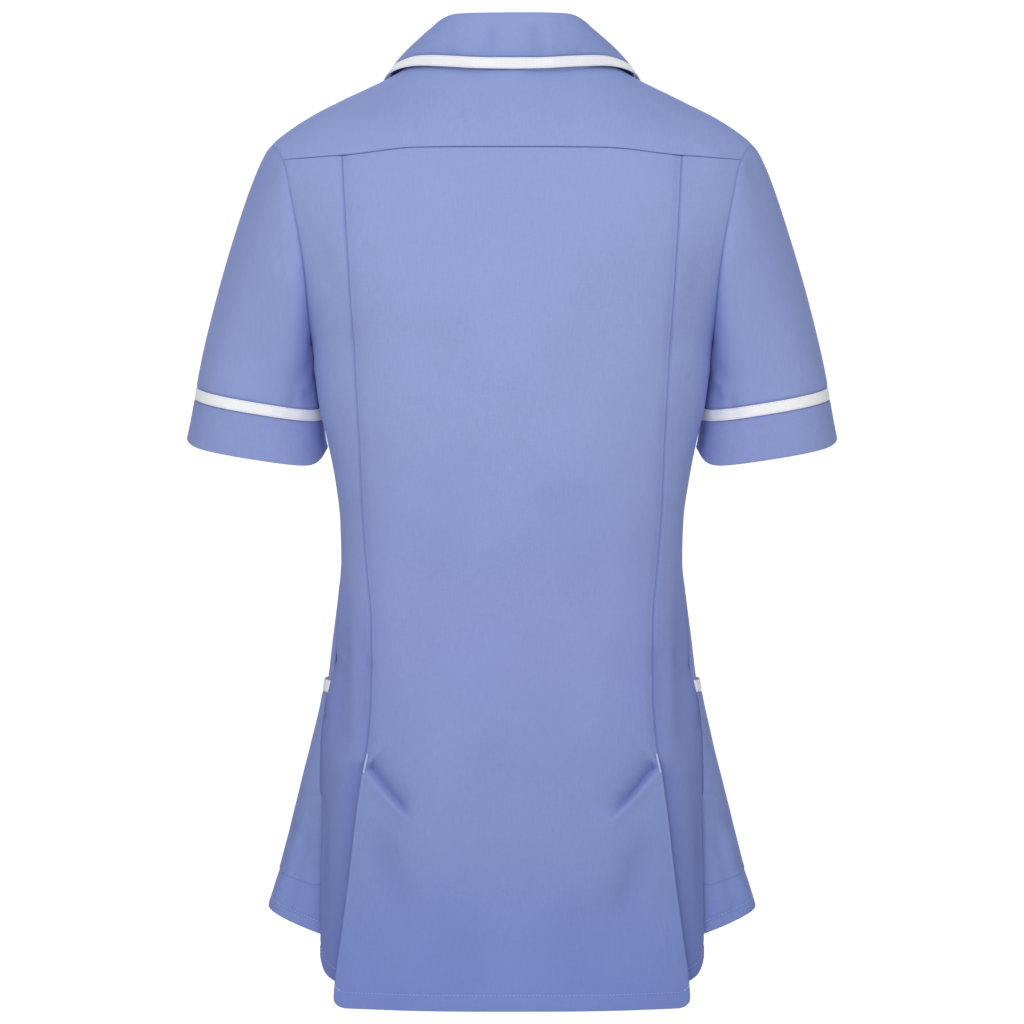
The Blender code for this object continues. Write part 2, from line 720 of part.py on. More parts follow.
def make_sleeves(blue, white):
    down = [math.pi * row / ARMHOLE_STEPS for row in ARMHOLE_ROWS]
    ring = down + [2 * math.pi - angle for angle in reversed(down[1:-1])]
    lower = SLEEVE_BAND - TAPE
    pair("sleeve", sleeve, ring, spaced(SLEEVE_ROWS), CLOTH, blue, facing=-1, ring=True)
    pair("sleeve_tape", sleeve_band(SLEEVE_BAND, lower), ring, spaced(1), CLOTH, white, facing=-1, ring=True)
    pair("cuff", cuff, ring, spaced(2), DOUBLE_CLOTH, blue, facing=-1, ring=True)


def make_collar(blue, white):
    columns = spaced(COLLAR_COLUMNS, -1, 1)
    rows = spaced(2) + spaced(5, 1, 2)[1:] + spaced(4, 2, 3)[1:]
    wall("collar", both_sides(collar_cloth), columns, rows, DOUBLE_CLOTH, blue)
    wall("collar_tape", both_sides(collar_tape), columns, spaced(1), CLOTH, white)
    pair("lapel", lapel, spaced(5), spaced(7), DOUBLE_CLOTH, blue, facing=-1)


def make_pockets(blue, white):
    lower = POCKET_TOP - TAPE
    pair("pocket", pocket, *pocket_grid(lower, POCKET_FOOT), CLOTH, blue, facing=-1)
    pair("pocket_tape", pocket, *pocket_grid(POCKET_TOP, lower), CLOTH, white, facing=-1)


def main():
    for item in list(bpy.data.objects):
        bpy.data.objects.remove(item, do_unlink=True)
    blue = fabric("cornflower_twill", BLUE)
    white = fabric("white_tape", WHITE)
    make_backs(blue)
    make_fronts(blue)
    make_sleeves(blue, white)
    make_collar(blue, white)
    make_pockets(blue, white)


main()
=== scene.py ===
# Work tunic in hollow worn form, seen from behind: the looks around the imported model.
# Tables and shape functions are in millimetres, and meshes are made in metres.
import bisect
import math

import bpy
import numpy as np
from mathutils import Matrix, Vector, noise


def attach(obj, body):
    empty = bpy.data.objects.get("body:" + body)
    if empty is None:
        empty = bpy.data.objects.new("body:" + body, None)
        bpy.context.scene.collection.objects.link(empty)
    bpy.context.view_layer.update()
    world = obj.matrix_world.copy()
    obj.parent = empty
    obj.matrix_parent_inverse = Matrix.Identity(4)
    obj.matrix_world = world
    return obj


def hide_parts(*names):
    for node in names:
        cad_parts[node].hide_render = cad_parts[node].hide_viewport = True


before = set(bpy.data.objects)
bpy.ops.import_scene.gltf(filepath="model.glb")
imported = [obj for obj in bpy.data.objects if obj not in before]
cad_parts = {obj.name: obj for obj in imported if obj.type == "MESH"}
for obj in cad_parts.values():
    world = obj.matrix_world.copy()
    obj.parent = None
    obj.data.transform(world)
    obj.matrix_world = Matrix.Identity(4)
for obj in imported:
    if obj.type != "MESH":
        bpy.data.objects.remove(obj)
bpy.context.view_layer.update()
mm = 0.001
cloths = {}  # every finished cloth piece, by name
print("frame loaded:", len(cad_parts), "nodes")


# Camera, stage and light

view = {
    "distance": 3.0,       # m behind the middle of the tunic
    "height": -0.352,      # m, level with the middle of the frame
    "frameWidth": 0.82944,  # m across the frame at that distance
    "sensor": 36.0,        # mm
}

stage = {
    "floor": -1.42,        # m, so the nape is at a standing height
    "radius": 5.6,
    "sweep": 1.6,          # radius of the curve from floor to wall
    "wall": 3.4,
    "colour": "#f6f6f7",
    "lift": 0.80,          # own glow, so that the sweep stays white behind the cloth
}

lights = (                 # name, place, height aimed at, size and power of each soft box
    ("fill", (0.3, 3.4, 0.1), -0.35, 2.2, 56.0),
    ("key", (-0.12, 2.1, 1.15), -0.05, 1.3, 7.0),
    ("over", (0, 0.3, 2.3), -0.2, 1.6, 10.0),
    ("frontFill", (-0.4, -3.4, 0.1), -0.35, 2.2, 50.0),
    ("frontKey", (0.3, -2.1, 1.15), -0.05, 1.3, 12.0),
    ("left", (3.0, 1.5, -0.2), -0.35, 1.6, 7.0),
    ("right", (-3.0, 1.5, -0.2), -0.35, 1.6, 7.0),
)
ambient = 0.31


def hexColour(code):
    channels = [int(code[i:i + 2], 16) / 255 for i in (1, 3, 5)]
    linear = [c / 12.92 if c <= 0.04045 else ((c + 0.055) / 1.055) ** 2.4 for c in channels]
    return (*linear, 1.0)


def addNode(tree, kind, settings=None, links=None):
    made = tree.nodes.new(kind)
    for key, value in (settings or {}).items():
        if isinstance(key, str) and hasattr(made, key):
            setattr(made, key, value)
        else:
            made.inputs[key].default_value = value
    for key, source in (links or {}).items():
        tree.links.new(source, made.inputs[key])
    return made


def makeCamera():
    camera = bpy.data.objects.new("camera", bpy.data.cameras.new("camera"))
    bpy.context.scene.collection.objects.link(camera)
    camera.data.sensor_width = view["sensor"]
    camera.data.lens = view["sensor"] * view["distance"] / view["frameWidth"]
    camera.location = (0, view["distance"], view["height"])
    camera.rotation_euler = (math.pi / 2, 0, math.pi)
    bpy.context.scene.camera = camera


def makeStage():
    floor, radius, sweep = stage["floor"], stage["radius"], stage["sweep"]
    turns = [math.radians(angle) for angle in range(0, 91, 6)]
    profile = [(0.02, floor), (radius / 2, floor)]
    profile += [(radius - sweep + sweep * math.sin(t), floor + sweep - sweep * math.cos(t))
                for t in turns]
    profile.append((radius, floor + stage["wall"]))
    around = 96
    points = []
    for r, z in profile:
        points += [(r * math.cos(2 * math.pi * i / around), r * math.sin(2 * math.pi * i / around), z)
                   for i in range(around)]
    faces = [tuple(range(around))]
    for ring in range(len(profile) - 1):
        for i in range(around):
            a = ring * around + i
            b = ring * around + (i + 1) % around
            faces.append((a, a + around, b + around, b))
    mesh = bpy.data.meshes.new("stage")
    mesh.from_pydata(points, [], faces)
    mesh.shade_smooth()
    sweepObject = bpy.data.objects.new("stage", mesh)
    bpy.context.scene.collection.objects.link(sweepObject)
    sweepObject.visible_shadow = False      # the room's soft light passes it
    sweepObject.visible_diffuse = False
    paint = bpy.data.materials.new("mattWhitePaint")
    paint.use_nodes = True
    shader = paint.node_tree.nodes["Principled BSDF"]
    shader.inputs["Base Color"].default_value = hexColour(stage["colour"])
    shader.inputs["Roughness"].default_value = 0.9
    shader.inputs["Emission Color"].default_value = hexColour(stage["colour"])
    shader.inputs["Emission Strength"].default_value = stage["lift"]
    mesh.materials.append(paint)


def makeLights():
    for name, place, aim, size, power in lights:
        lamp = bpy.data.lights.new(name, "AREA")
        lamp.shape = "DISK"
        lamp.size = size
        lamp.energy = power
        box = bpy.data.objects.new(name, lamp)
        box.location = place
        box.rotation_euler = (Vector((0, 0, aim)) - Vector(place)).to_track_quat("-Z", "Y").to_euler()
        box.visible_camera = False
        bpy.context.scene.collection.objects.link(box)
    world = bpy.data.worlds.new("softRoom")
    bpy.context.scene.world = world
    world.use_nodes = True
    background = world.node_tree.nodes["Background"]
    background.inputs["Color"].default_value = hexColour("#fbfcff")
    background.inputs["Strength"].default_value = ambient
    bpy.context.scene.view_settings.view_transform = "Standard"


makeCamera()
makeStage()
makeLights()
print("camera, stage and lights placed")


# Materials

twill = {                  # piece-dyed polyester and cotton twill: matt, with a fine diagonal rib
    "dyeAndPaintedLight": (               # colour by height in m, with painted light: paler and hazier towards the shoulders, darker towards the hem
        (-0.745, "#778acd"), (-0.60, "#8596ce"), (-0.45, "#8d99d3"), (-0.28, "#97a6db"),
        (-0.10, "#97a6db"), (0.03, "#8e9fd5"),
    ),
    "deep": "#3a4596",     # painted shade: the deeper blue mixed in where seams and pressed creases lie in shade
    "uneven": (0.915, 1.075),  # how far yarns, rib and pressing darken or lighten it
    "rib": 1.3,            # mm; the real rib is 0.5 mm, drawn coarser so that it shows
    "ribAngle": 58.0,
    "yarn": 1.5,           # mm between the faint upright streaks of uneven yarn
    "yarnLength": 9.0,
    "mottle": 70.0,        # mm across the broad uneven patches left by pressing
    "relief": 0.12,        # mm
    "roughness": 0.84,
    "sheen": 0.20,         # the short raised fibres that catch light along the edges
    "sheenTint": "#8fa5ff",
    "sheenRoughness": 0.45,
}

tapeCloth = {              # bleached cotton tape, folded and pressed flat
    "dyeAndPaintedLight": ((-0.745, "#f6f6f8"), (0.03, "#f6f6f8")),
    # painted shade: the greyer white mixed in along the tape's edges
    "deep": "#8f93ab",
    "uneven": (0.94, 1.03),
    "paintedGlow": 0.075,         # painted light: a faint glow that stands in for the bleached tape's optical brightener
    "rib": 0.9,
    "ribAngle": 90.0,
    "yarn": 1.3,
    "yarnLength": 11.0,
    "mottle": 30.0,
    "relief": 0.10,
    "roughness": 0.8,
    "along": True,         # its yarns run along its length
    "sheen": 0.12,
    "sheenTint": "#ffffff",
    "sheenRoughness": 0.4,
}

threads = {                # spun polyester sewing thread, a slight gloss on a twisted round yarn
    "blue": "#414c9a",
    "pale": "#aeb9e4",
    "tack": "#c3cff2",
    "white": "#e6e7ec",
    "roughness": 0.55,
    "twist": 0.5,          # mm
    "relief": 0.05,
}


def weaveMaterial(name, look):
    material = bpy.data.materials.new(name)
    material.use_nodes = True
    tree = material.node_tree
    shader = tree.nodes["Principled BSDF"]
    weave = addNode(tree, "ShaderNodeUVMap", {"uv_map": "weave"}).outputs["UV"]
    place = addNode(tree, "ShaderNodeTexCoord").outputs["Object"]
    yarn, length = 1 / (look["yarn"] * mm), 1 / (look["yarnLength"] * mm)
    if look.get("along"):
        yarn, length = length, yarn
    warp = addNode(tree, "ShaderNodeMapping", {"Scale": (yarn, length, 1)}, {"Vector": weave})
    weft = addNode(tree, "ShaderNodeMapping", {"Scale": (length, yarn, 1), "Location": (7, 3, 0)},
                   {"Vector": weave})
    streak = addNode(tree, "ShaderNodeTexNoise", {"Scale": 1.0, "Detail": 2.0},
                     {"Vector": warp.outputs[0]})
    bar = addNode(tree, "ShaderNodeTexNoise", {"Scale": 1.0, "Detail": 2.0}, {"Vector": weft.outputs[0]})
    patch = addNode(tree, "ShaderNodeTexNoise", {"Scale": 1 / (look["mottle"] * mm), "Detail": 3.0},
                    {"Vector": place})
    turned = addNode(tree, "ShaderNodeMapping", {"Rotation": (0, 0, math.radians(look["ribAngle"]))},
                     {"Vector": weave})
    ribScale = math.pi / 10 / (look["rib"] * mm)   # the wave's period at scale 1 is pi / 10
    rib = addNode(tree, "ShaderNodeTexWave", {"Scale": ribScale, "Distortion": 0.6, "Detail": 1.0},
                  {"Vector": turned.outputs[0]})
    crossing = addNode(tree, "ShaderNodeMath", {"operation": "MULTIPLY_ADD", 1: 0.6},
                       {0: bar.outputs[0], 2: streak.outputs[0]})
    broad = addNode(tree, "ShaderNodeMath", {"operation": "MULTIPLY_ADD", 1: 0.9},
                    {0: patch.outputs[0], 2: crossing.outputs[0]})
    shade = addNode(tree, "ShaderNodeMath", {"operation": "MULTIPLY_ADD", 1: 0.16},
                    {0: rib.outputs["Fac"], 2: broad.outputs[0]})
    spread = addNode(tree, "ShaderNodeMapRange", {"From Min": 0.78, "From Max": 1.9},
                     {"Value": shade.outputs[0]})
    low, high = look["dyeAndPaintedLight"][0][0], look["dyeAndPaintedLight"][-1][0]
    upright = addNode(tree, "ShaderNodeSeparateXYZ", None, {"Vector": place})
    share = addNode(tree, "ShaderNodeMapRange", {"From Min": low, "From Max": high},
                    {"Value": upright.outputs["Z"]})
    # the colour by height, which holds painted light on the twill
    dyeAndPaintedLight = addNode(tree, "ShaderNodeValToRGB", None, {"Fac": share.outputs[0]})
    dyeAndPaintedLight.color_ramp.elements.remove(dyeAndPaintedLight.color_ramp.elements[-1])
    for i, (z, colour) in enumerate(look["dyeAndPaintedLight"]):
        at = (z - low) / (high - low)
        stop = dyeAndPaintedLight.color_ramp.elements[0] if i == 0 else dyeAndPaintedLight.color_ramp.elements.new(at)
        stop.position = at
        stop.color = hexColour(colour)
    darkest, lightest = look["uneven"]
    tone = addNode(tree, "ShaderNodeMapRange", {"To Min": darkest, "To Max": lightest},
                   {"Value": spread.outputs[0]})
    plain = addNode(tree, "ShaderNodeHueSaturation", None,
                    {"Color": dyeAndPaintedLight.outputs["Color"], "Value": tone.outputs[0]})
    # painted shade: a point attribute that mixes the cloth towards the deep blue in seams, creases and
    # shaded hollows
    paintedShade = addNode(tree, "ShaderNodeAttribute", {"attribute_name": "paintedShade"}).outputs["Fac"]
    cloth = addNode(tree, "ShaderNodeMix", {"data_type": "RGBA", 7: hexColour(look["deep"])},
                    {0: paintedShade, 6: plain.outputs[0]})
    height = addNode(tree, "ShaderNodeMath", {"operation": "MULTIPLY_ADD", 1: 0.5},
                     {0: rib.outputs["Fac"], 2: streak.outputs[0]})
    bump = addNode(tree, "ShaderNodeBump", {"Strength": 0.5, "Distance": look["relief"] * mm},
                   {"Height": height.outputs[0]})
    rough = addNode(tree, "ShaderNodeMapRange",
                    {"To Min": look["roughness"] - 0.06, "To Max": look["roughness"] + 0.06},
                    {"Value": streak.outputs[0]})
    tree.links.new(cloth.outputs[2], shader.inputs["Base Color"])
    tree.links.new(rough.outputs[0], shader.inputs["Roughness"])
    tree.links.new(bump.outputs["Normal"], shader.inputs["Normal"])
    shader.inputs["Sheen Weight"].default_value = look["sheen"]
    shader.inputs["Sheen Roughness"].default_value = look["sheenRoughness"]
    shader.inputs["Sheen Tint"].default_value = hexColour(look["sheenTint"])
    shader.inputs["Specular IOR Level"].default_value = 0.28
    shader.inputs["Emission Color"].default_value = hexColour(look["dyeAndPaintedLight"][0][1])
    shader.inputs["Emission Strength"].default_value = look.get("paintedGlow", 0.0)
    return material


def threadMaterial(name, colour):
    material = bpy.data.materials.new(name)
    material.use_nodes = True
    tree = material.node_tree
    shader = tree.nodes["Principled BSDF"]
    place = addNode(tree, "ShaderNodeTexCoord").outputs["Object"]
    twist = addNode(tree, "ShaderNodeTexNoise", {"Scale": 1 / (threads["twist"] * mm)},
                    {"Vector": place})
    tone = addNode(tree, "ShaderNodeHueSaturation", {"Color": hexColour(colour)})
    value = addNode(tree, "ShaderNodeMapRange", {"To Min": 0.86, "To Max": 1.1},
                    {"Value": twist.outputs[0]})
    tree.links.new(value.outputs[0], tone.inputs["Value"])
    tree.links.new(tone.outputs[0], shader.inputs["Base Color"])
    bump = addNode(tree, "ShaderNodeBump", {"Strength": 0.3, "Distance": threads["relief"] * mm},
                   {"Height": twist.outputs[0]})
    tree.links.new(bump.outputs["Normal"], shader.inputs["Normal"])
    shader.inputs["Roughness"].default_value = threads["roughness"]
    return material


blueTwill = weaveMaterial("cornflowerTwill", twill)
whiteTape = weaveMaterial("bleachedCottonTape", tapeCloth)
blueThread = threadMaterial("blueSewingThread", threads["blue"])
paleThread = threadMaterial("paleSewingThread", threads["pale"])
tackThread = threadMaterial("paleTackThread", threads["tack"])
whiteThread = threadMaterial("whiteSewingThread", threads["white"])
print("materials made")


# Worn form that the panels lie on

form = {
    "corner": 2.4,         # exponent of the rounded sections
    "shoulderRound": 100.0,
    "shoulderPoint": -56.5,
    "underarm": -216.0,
    "yokeFoot": -69.94,    # height at which the yoke seam meets the armhole
    "sections": (          # height, width in front and behind, depth in front and behind
        (60, 215, 215, 62, 80), (0, 215, 215, 74, 84), (-60, 210, 215, 96, 95),
        (-100, 186, 206, 108, 97.5), (-140, 176, 192, 118, 98), (-170, 170, 178, 124, 97.5),
        (-200, 164.5, 166, 128, 96), (-216, 161.8, 161.8, 129, 94.5), (-240, 159.4, 159.4, 129, 92.5),
        (-265, 156, 156, 127, 90), (-294, 149.4, 149.4, 121, 87), (-326, 143.2, 143.2, 112, 83),
        (-358, 139, 139, 106, 80), (-391, 138.1, 138.1, 103, 79), (-423, 141, 141, 104, 82),
        (-456, 145, 145.2, 107, 87.5), (-485, 148.6, 150, 110, 92), (-504, 152.6, 154.5, 112, 95),
        (-537, 161.4, 158, 115, 100), (-585, 174, 159.2, 118, 105.5), (-634, 186.6, 160, 121, 109.5),
        (-666, 196.2, 160.5, 123, 111.5), (-700, 200, 161, 124, 113), (-760, 206, 161.5, 126, 115.5),
    ),
    "shoulderLine": ((0, 34), (40, 24), (81, 9.5), (102, -2), (135, -18), (167, -34.5), (190, -50.5),
                     (196, -56.5), (210, -68)),
    "armhole": (           # height, x on the back and on the front
        (-56.5, 196, 196), (-58, 191, 190.5), (-63, 187, 185.5), (-70, 183.5, 180), (-80, 180, 174.5),
        (-95, 177, 169), (-112, 173.5, 165), (-138, 168.3, 161), (-167, 164.7, 160),
        (-190, 163.4, 160.4), (-205, 162.5, 161.2), (-216, 161.8, 161.8),
    ),
    "yokeSeam": ((0, -65), (75, -65), (135, -69.4), (183.5, -69.94), (200, -70)),
    "pleatLine": ((-66, 135), (-130, 131.5), (-217, 126.5), (-294, 122), (-349, 120), (-390, 117),
                  (-445, 112), (-490, 112), (-535, 115), (-558, 118.6), (-600, 123.5), (-640, 127),
                  (-693, 132.2), (-722, 135.1), (-745, 135.6)),
    "sideSeam": ((-216, 0), (-380, 4), (-440, 20), (-480, 32), (-520, 34), (-574, 38), (-640, 42),
                 (-713, 46)),
}
corner = form["corner"]
underarm = form["underarm"]
shoulderPoint = form["shoulderPoint"]
yokeFoot = form["yokeFoot"]


def curveThrough(points):
    # A smooth curve through (at, value) pairs that never swings past them.
    pairs = sorted((float(at), float(value)) for at, value in points)
    ats = [pair[0] for pair in pairs]
    values = [pair[1] for pair in pairs]
    widths = [b - a for a, b in zip(ats, ats[1:])]
    slopes = [(b - a) / w for a, b, w in zip(values, values[1:], widths)]
    tangents = [slopes[0]]
    for left, right in zip(slopes, slopes[1:]):
        tangents.append(0.0 if left * right <= 0 else 2 * left * right / (left + right))
    tangents.append(slopes[-1])

    def valueAt(at):
        at = min(max(at, ats[0]), ats[-1])
        i = min(max(bisect.bisect_right(ats, at) - 1, 0), len(widths) - 1)
        t = (at - ats[i]) / widths[i]
        bend = t * (1 - t) * ((1 - t) * tangents[i] - t * tangents[i + 1]) * widths[i]
        return values[i] + (values[i + 1] - values[i]) * t * t * (3 - 2 * t) + bend

    return valueAt


def ramp(value, start, end):
    return min(max((value - start) / (end - start), 0.0), 1.0)


def column(rows, i):
    return curveThrough([(row[0], row[i]) for row in rows])


frontWidth, backWidth, frontDepth, backDepth = [column(form["sections"], i) for i in (1, 2, 3, 4)]
armholeBack, armholeFront = [column(form["armhole"], i) for i in (1, 2)]
shoulderLine = curveThrough(form["shoulderLine"])
yokeSeam = curveThrough(form["yokeSeam"])
pleatLine = curveThrough(form["pleatLine"])
sideSeamDepth = curveThrough(form["sideSeam"])


def angleOf(x, width):
    # The section's angle at x, 0 at the side and a quarter turn at the middle.
    return math.acos(math.copysign(min(abs(x) / width, 1.0) ** (corner / 2), x))


def along(turn, size):
    # The distance from the middle, from an angle's cosine or sine.
    return math.copysign(abs(turn) ** (2 / corner), turn) * size


def bodyPoint(x, z, width, depth, side):
    # A point on the form: side is 1 behind and -1 in front.
    drop = ramp(z, shoulderLine(abs(x)), shoulderLine(abs(x)) - form["shoulderRound"])
    turn = math.sqrt(max(1 - (1 - drop) ** 2, 0.0))
    y = depth * max(1 - min(abs(x) / width, 1.0) ** corner, 0.0) ** (1 / corner) * turn
    return Vector((x, side * y, z))


def backPoint(x, z):
    return bodyPoint(x, z, backWidth(z), backDepth(z), 1)


def frontPoint(x, z):
    return bodyPoint(x, z, frontWidth(z), frontDepth(z), -1)


def outward(point, width, depth):
    x = math.copysign((abs(point.x) / width) ** (corner - 1) / width, point.x)
    y = math.copysign((abs(point.y) / depth) ** (corner - 1) / depth, point.y)
    return Vector((x, y, 0)).normalized()


def cornerRise(distance, radius):
    # How far a hem's rounded corner has risen at a distance from the side edge.
    inside = max(radius - distance, 0.0)
    return radius - math.sqrt(max(radius ** 2 - inside ** 2, 0.0))


def lifted(place, u, v, lift):
    # A point moved out of a surface, square to it.
    step = 0.02
    across = place(u + step, v) - place(u - step, v)
    down = place(u, v + step) - place(u, v - step)
    return place(u, v) + down.cross(across).normalized() * lift


# Creases, seams and the cloth pieces themselves

handling = {               # faint unevenness of cloth that has been worn and hung
    "height": 0.55,        # mm
    "size": 62.0,          # mm
}

sewing = {
    "dip": 1.1,            # mm that a sewn edge sinks into its seam
    "dipWidth": 1.3,
    "deepDip": 0.4,        # and all round the armhole
    "deepWidth": 1.6,
    "underlap": 3.2,       # mm that a back panel runs on under the yoke
    "underRows": 4,        # and the rows of its grid there
    "underDip": 0.95,
    "pucker": 0.20,        # mm, uneven gathering beside a seam
    "puckerSize": 9.0,
    "puckerReach": 11.0,
    "paintedCreaseShade": 0.035,   # painted shade: how much a crease deepens the blue, for each mm that it sinks
    "paintedCreaseShadeMost": 0.09,
    "around": 6.0,         # mm that the soft shadow beside a seam reaches
    "hemBulge": 0.22,      # mm that the doubled cloth of a hem stands out
    "hemDip": 0.42,        # and sinks along its stitching
}

paintedEdgeShade = {              # painted shade: how far the blue deepens at each kind of edge, on the line and around it
    "under": 0.75,
    "fold": (0.22, 0.10),
    "seam": (0.15, 0.15, 0.05),  # at least, with depth, around it
    "deep": (0.24, 0.10),
    "soft": 0.10,
    "hem": 0.14,
}


def unit(vectors):
    return vectors / np.maximum(np.linalg.norm(vectors, axis=-1, keepdims=True), 1e-9)


def gridNormals(grid, facing, ring):
    wide = np.concatenate([grid[-1:], grid, grid[:1]]) if ring else grid
    across = np.gradient(wide, axis=0)
    across = across[1:-1] if ring else across
    down = np.gradient(grid, axis=1)
    return unit(np.cross(across, down)) * facing


def creasePush(points, normals, path, crease):
    # How far one crease moves each point: soft, or with one sharp lip.
    starts = path[:-1]
    steps = np.diff(path, axis=0)
    share = np.einsum("nsk,sk->ns", points[:, None] - starts, steps) / (steps ** 2).sum(1)
    share = np.clip(share, 0, 1)
    away = points[:, None] - (starts + share[..., None] * steps)
    gaps = np.linalg.norm(away, axis=2)
    near = gaps.argmin(1)
    each = np.arange(len(points))
    gap = gaps[each, near]
    share = (near + share[each, near]) / len(steps)
    width = crease["width"] * (crease.get("narrow", 1.0) + (1 - crease.get("narrow", 1.0)) * share)
    if "lip" in crease:
        side = np.einsum("nk,nk->n", np.cross(steps[near], normals), away[each, near])
        width = np.where(side * crease["lip"] > 0, width, width * crease["lee"])
        profile = np.exp(-gap / width)
    else:
        profile = np.exp(-(gap / width) ** 2)
    head, tail = crease.get("head", 0.35), crease.get("tail", 0.55)
    start = np.clip(share / head, 0, 1) if head else 1.0
    end = np.clip((1 - share) / tail, 0, 1) if tail else 1.0
    fade = (start * end) ** 2 * (3 - 2 * start * end)
    return -crease["depth"] * profile * fade


def crease(grid, normals, creases, at):
    # Presses the given creases into a grid and gives their painted shade; the ends are as at() takes
    # them.
    points = grid.reshape(-1, 3)
    flatNormals = normals.reshape(-1, 3)
    push = np.zeros(len(points))
    tone = np.zeros(len(points))
    for one in creases:
        (a, b), (c, d) = one["start"], one["end"]
        bow = one.get("bow", 0.0)
        path = []
        for i in range(10):
            t = i / 9
            path.append(at(a + (c - a) * t, b + (d - b) * t + bow * math.sin(math.pi * t)))
        path = np.array(path)
        close = np.linalg.norm(points - path.mean(0), axis=1)
        reach = np.linalg.norm(path[-1] - path[0]) / 2 + abs(bow) + one["width"] * 4
        chosen = np.nonzero(close < reach)[0]
        if len(chosen):
            pressed = creasePush(points[chosen], flatNormals[chosen], path, one)
            push[chosen] += pressed
            # painted shade in a crease: deeper blue for each mm that it sinks, up to a limit
            usual = np.clip(-sewing["paintedCreaseShade"] * pressed, 0, sewing["paintedCreaseShadeMost"])
            tone[chosen] += one["tone"] * pressed / -one["depth"] if "tone" in one else usual
    shape = grid.shape[:2]
    return grid + normals * push.reshape(shape)[..., None], tone.reshape(shape)


def uneven(points, size, seed):
    offset = Vector((seed * 3.7, seed * 1.9, -seed * 2.3))
    flat = points.reshape(-1, 3) / size
    values = [noise.noise(Vector(p) + offset) for p in flat.tolist()]
    return np.array(values).reshape(points.shape[:-1])


def edgeDistances(grid, ring):
    # Distances in mm along the cloth from each of a grid's four borders.
    across = np.linalg.norm(np.diff(grid, axis=0), axis=2)
    down = np.linalg.norm(np.diff(grid, axis=1), axis=2)
    start = np.concatenate([np.zeros((1, grid.shape[1])), np.cumsum(across, axis=0)])
    top = np.concatenate([np.zeros((grid.shape[0], 1)), np.cumsum(down, axis=1)], axis=1)
    away = {"top": top, "foot": top[:, -1:] - top}
    if not ring:
        away.update({"start": start, "end": start[-1:] - start})
    return away, start, top


def finishEdges(grid, normals, away, borders, seed):
    # Sinks sewn edges into their seams, puckers them and thickens turned hems, and gives the painted
    # shade along them.
    push = np.zeros(grid.shape[:2])
    # painted shade along each edge, mixed towards the deep blue
    deep = np.zeros(grid.shape[:2])
    pucker = uneven(grid, sewing["puckerSize"], seed)

    def near(gap, width):
        return np.exp(-(gap / width) ** 2)

    for border, kind in borders.items():
        gap = away[border]
        share = 1.0
        if isinstance(kind, tuple):
            kind, share = kind[0], np.atleast_2d(kind[1])
        gathers = sewing["pucker"] * pucker * np.exp(-gap / sewing["puckerReach"])
        if kind == "under":
            past = gap - gap[:, [sewing["underRows"]]]
            under = np.clip(1 - past / 1.3, 0, 1)
            push += gathers - sewing["underDip"] * under
            deep += paintedEdgeShade["under"] * under
        elif kind == "fold":     # share is 1 where the fold is sewn down and 0 where it hangs open
            push += 0.45 * near(gap - 1.0, 1.1) - 0.5 * near(gap, 0.7)
            push -= 0.9 * share * near(gap, 5.0)
            line, around = paintedEdgeShade["fold"]
            deep += share * (line * near(gap, 1.0) + around * np.exp(-gap / sewing["around"]))
        elif kind == "seam":
            push += gathers - sewing["dip"] * share * near(gap, sewing["dipWidth"])
            least, more, around = paintedEdgeShade["seam"]
            deep += (least + more * share) * near(gap, 1.2) + around * np.exp(-gap / sewing["around"])
        elif kind == "deep":
            past = np.abs(gap - gap[:, [1]])     # from the row that lies on the seam
            push += 1.5 * gathers - sewing["deepDip"] * share * near(past, sewing["deepWidth"])
            line, around = paintedEdgeShade["deep"]
            deep += line * near(past, 1.3) + around * share * np.exp(-past / sewing["around"])
        elif kind == "soft":
            push -= 0.3 * near(gap, 0.9)
            deep += paintedEdgeShade["soft"] * near(gap, 0.8)
        elif isinstance(kind, (int, float)):     # a hem turned up this many mm
            push += sewing["hemBulge"] * np.clip(0.5 - (gap - kind) / 1.5, 0, 1)
            push -= sewing["hemDip"] * near(gap - kind, 1.1)
            push += 0.24 * pucker * np.exp(-np.abs(gap - kind) / 7.0)
            deep += paintedEdgeShade["hem"] * near(gap - kind, 1.0)
    return grid + normals * push[..., None], deep


def makeCloth(name, place, us, levels, look):
    # One cloth piece: its grid on the form, creased and edged, as a thin closed shell.
    ring = look.get("ring", False)
    facing = look["facing"]
    grid = np.array([[tuple(place(u, level)) for level in levels] for u in us])
    normals = gridNormals(grid, facing, ring)
    height = handling["height"] * look.get("uneven", 1.0)
    grid = grid + normals * (height * uneven(grid, handling["size"], 1))[..., None]
    # painted shade from the creases, the look's tone and the edges
    paintedShade = np.zeros(grid.shape[:2])
    for creases, at in look.get("creases", ()):
        grid, tone = crease(grid, normals, creases, at)
        paintedShade += tone
    away, start, top = edgeDistances(grid, ring)
    # a look's tone is painted shade
    if "tone" in look:
        paintedShade += look["tone"](grid)
    grid, deep = finishEdges(grid, gridNormals(grid, facing, ring), away, look.get("borders", {}),
                             look.get("seed", 1))
    piece = shellObject(name, grid, start, top, look)
    shade = piece.data.attributes.new("paintedShade", "FLOAT", "POINT")
    shade.data.foreach_set("value", np.clip(paintedShade + deep, 0, 0.8).ravel())
    cloths[name] = {"object": piece, "grid": grid, "normals": gridNormals(grid, facing, ring),
                    "away": away, "ring": ring, "facing": facing, "look": look}
    declareCloth(name)
    return piece


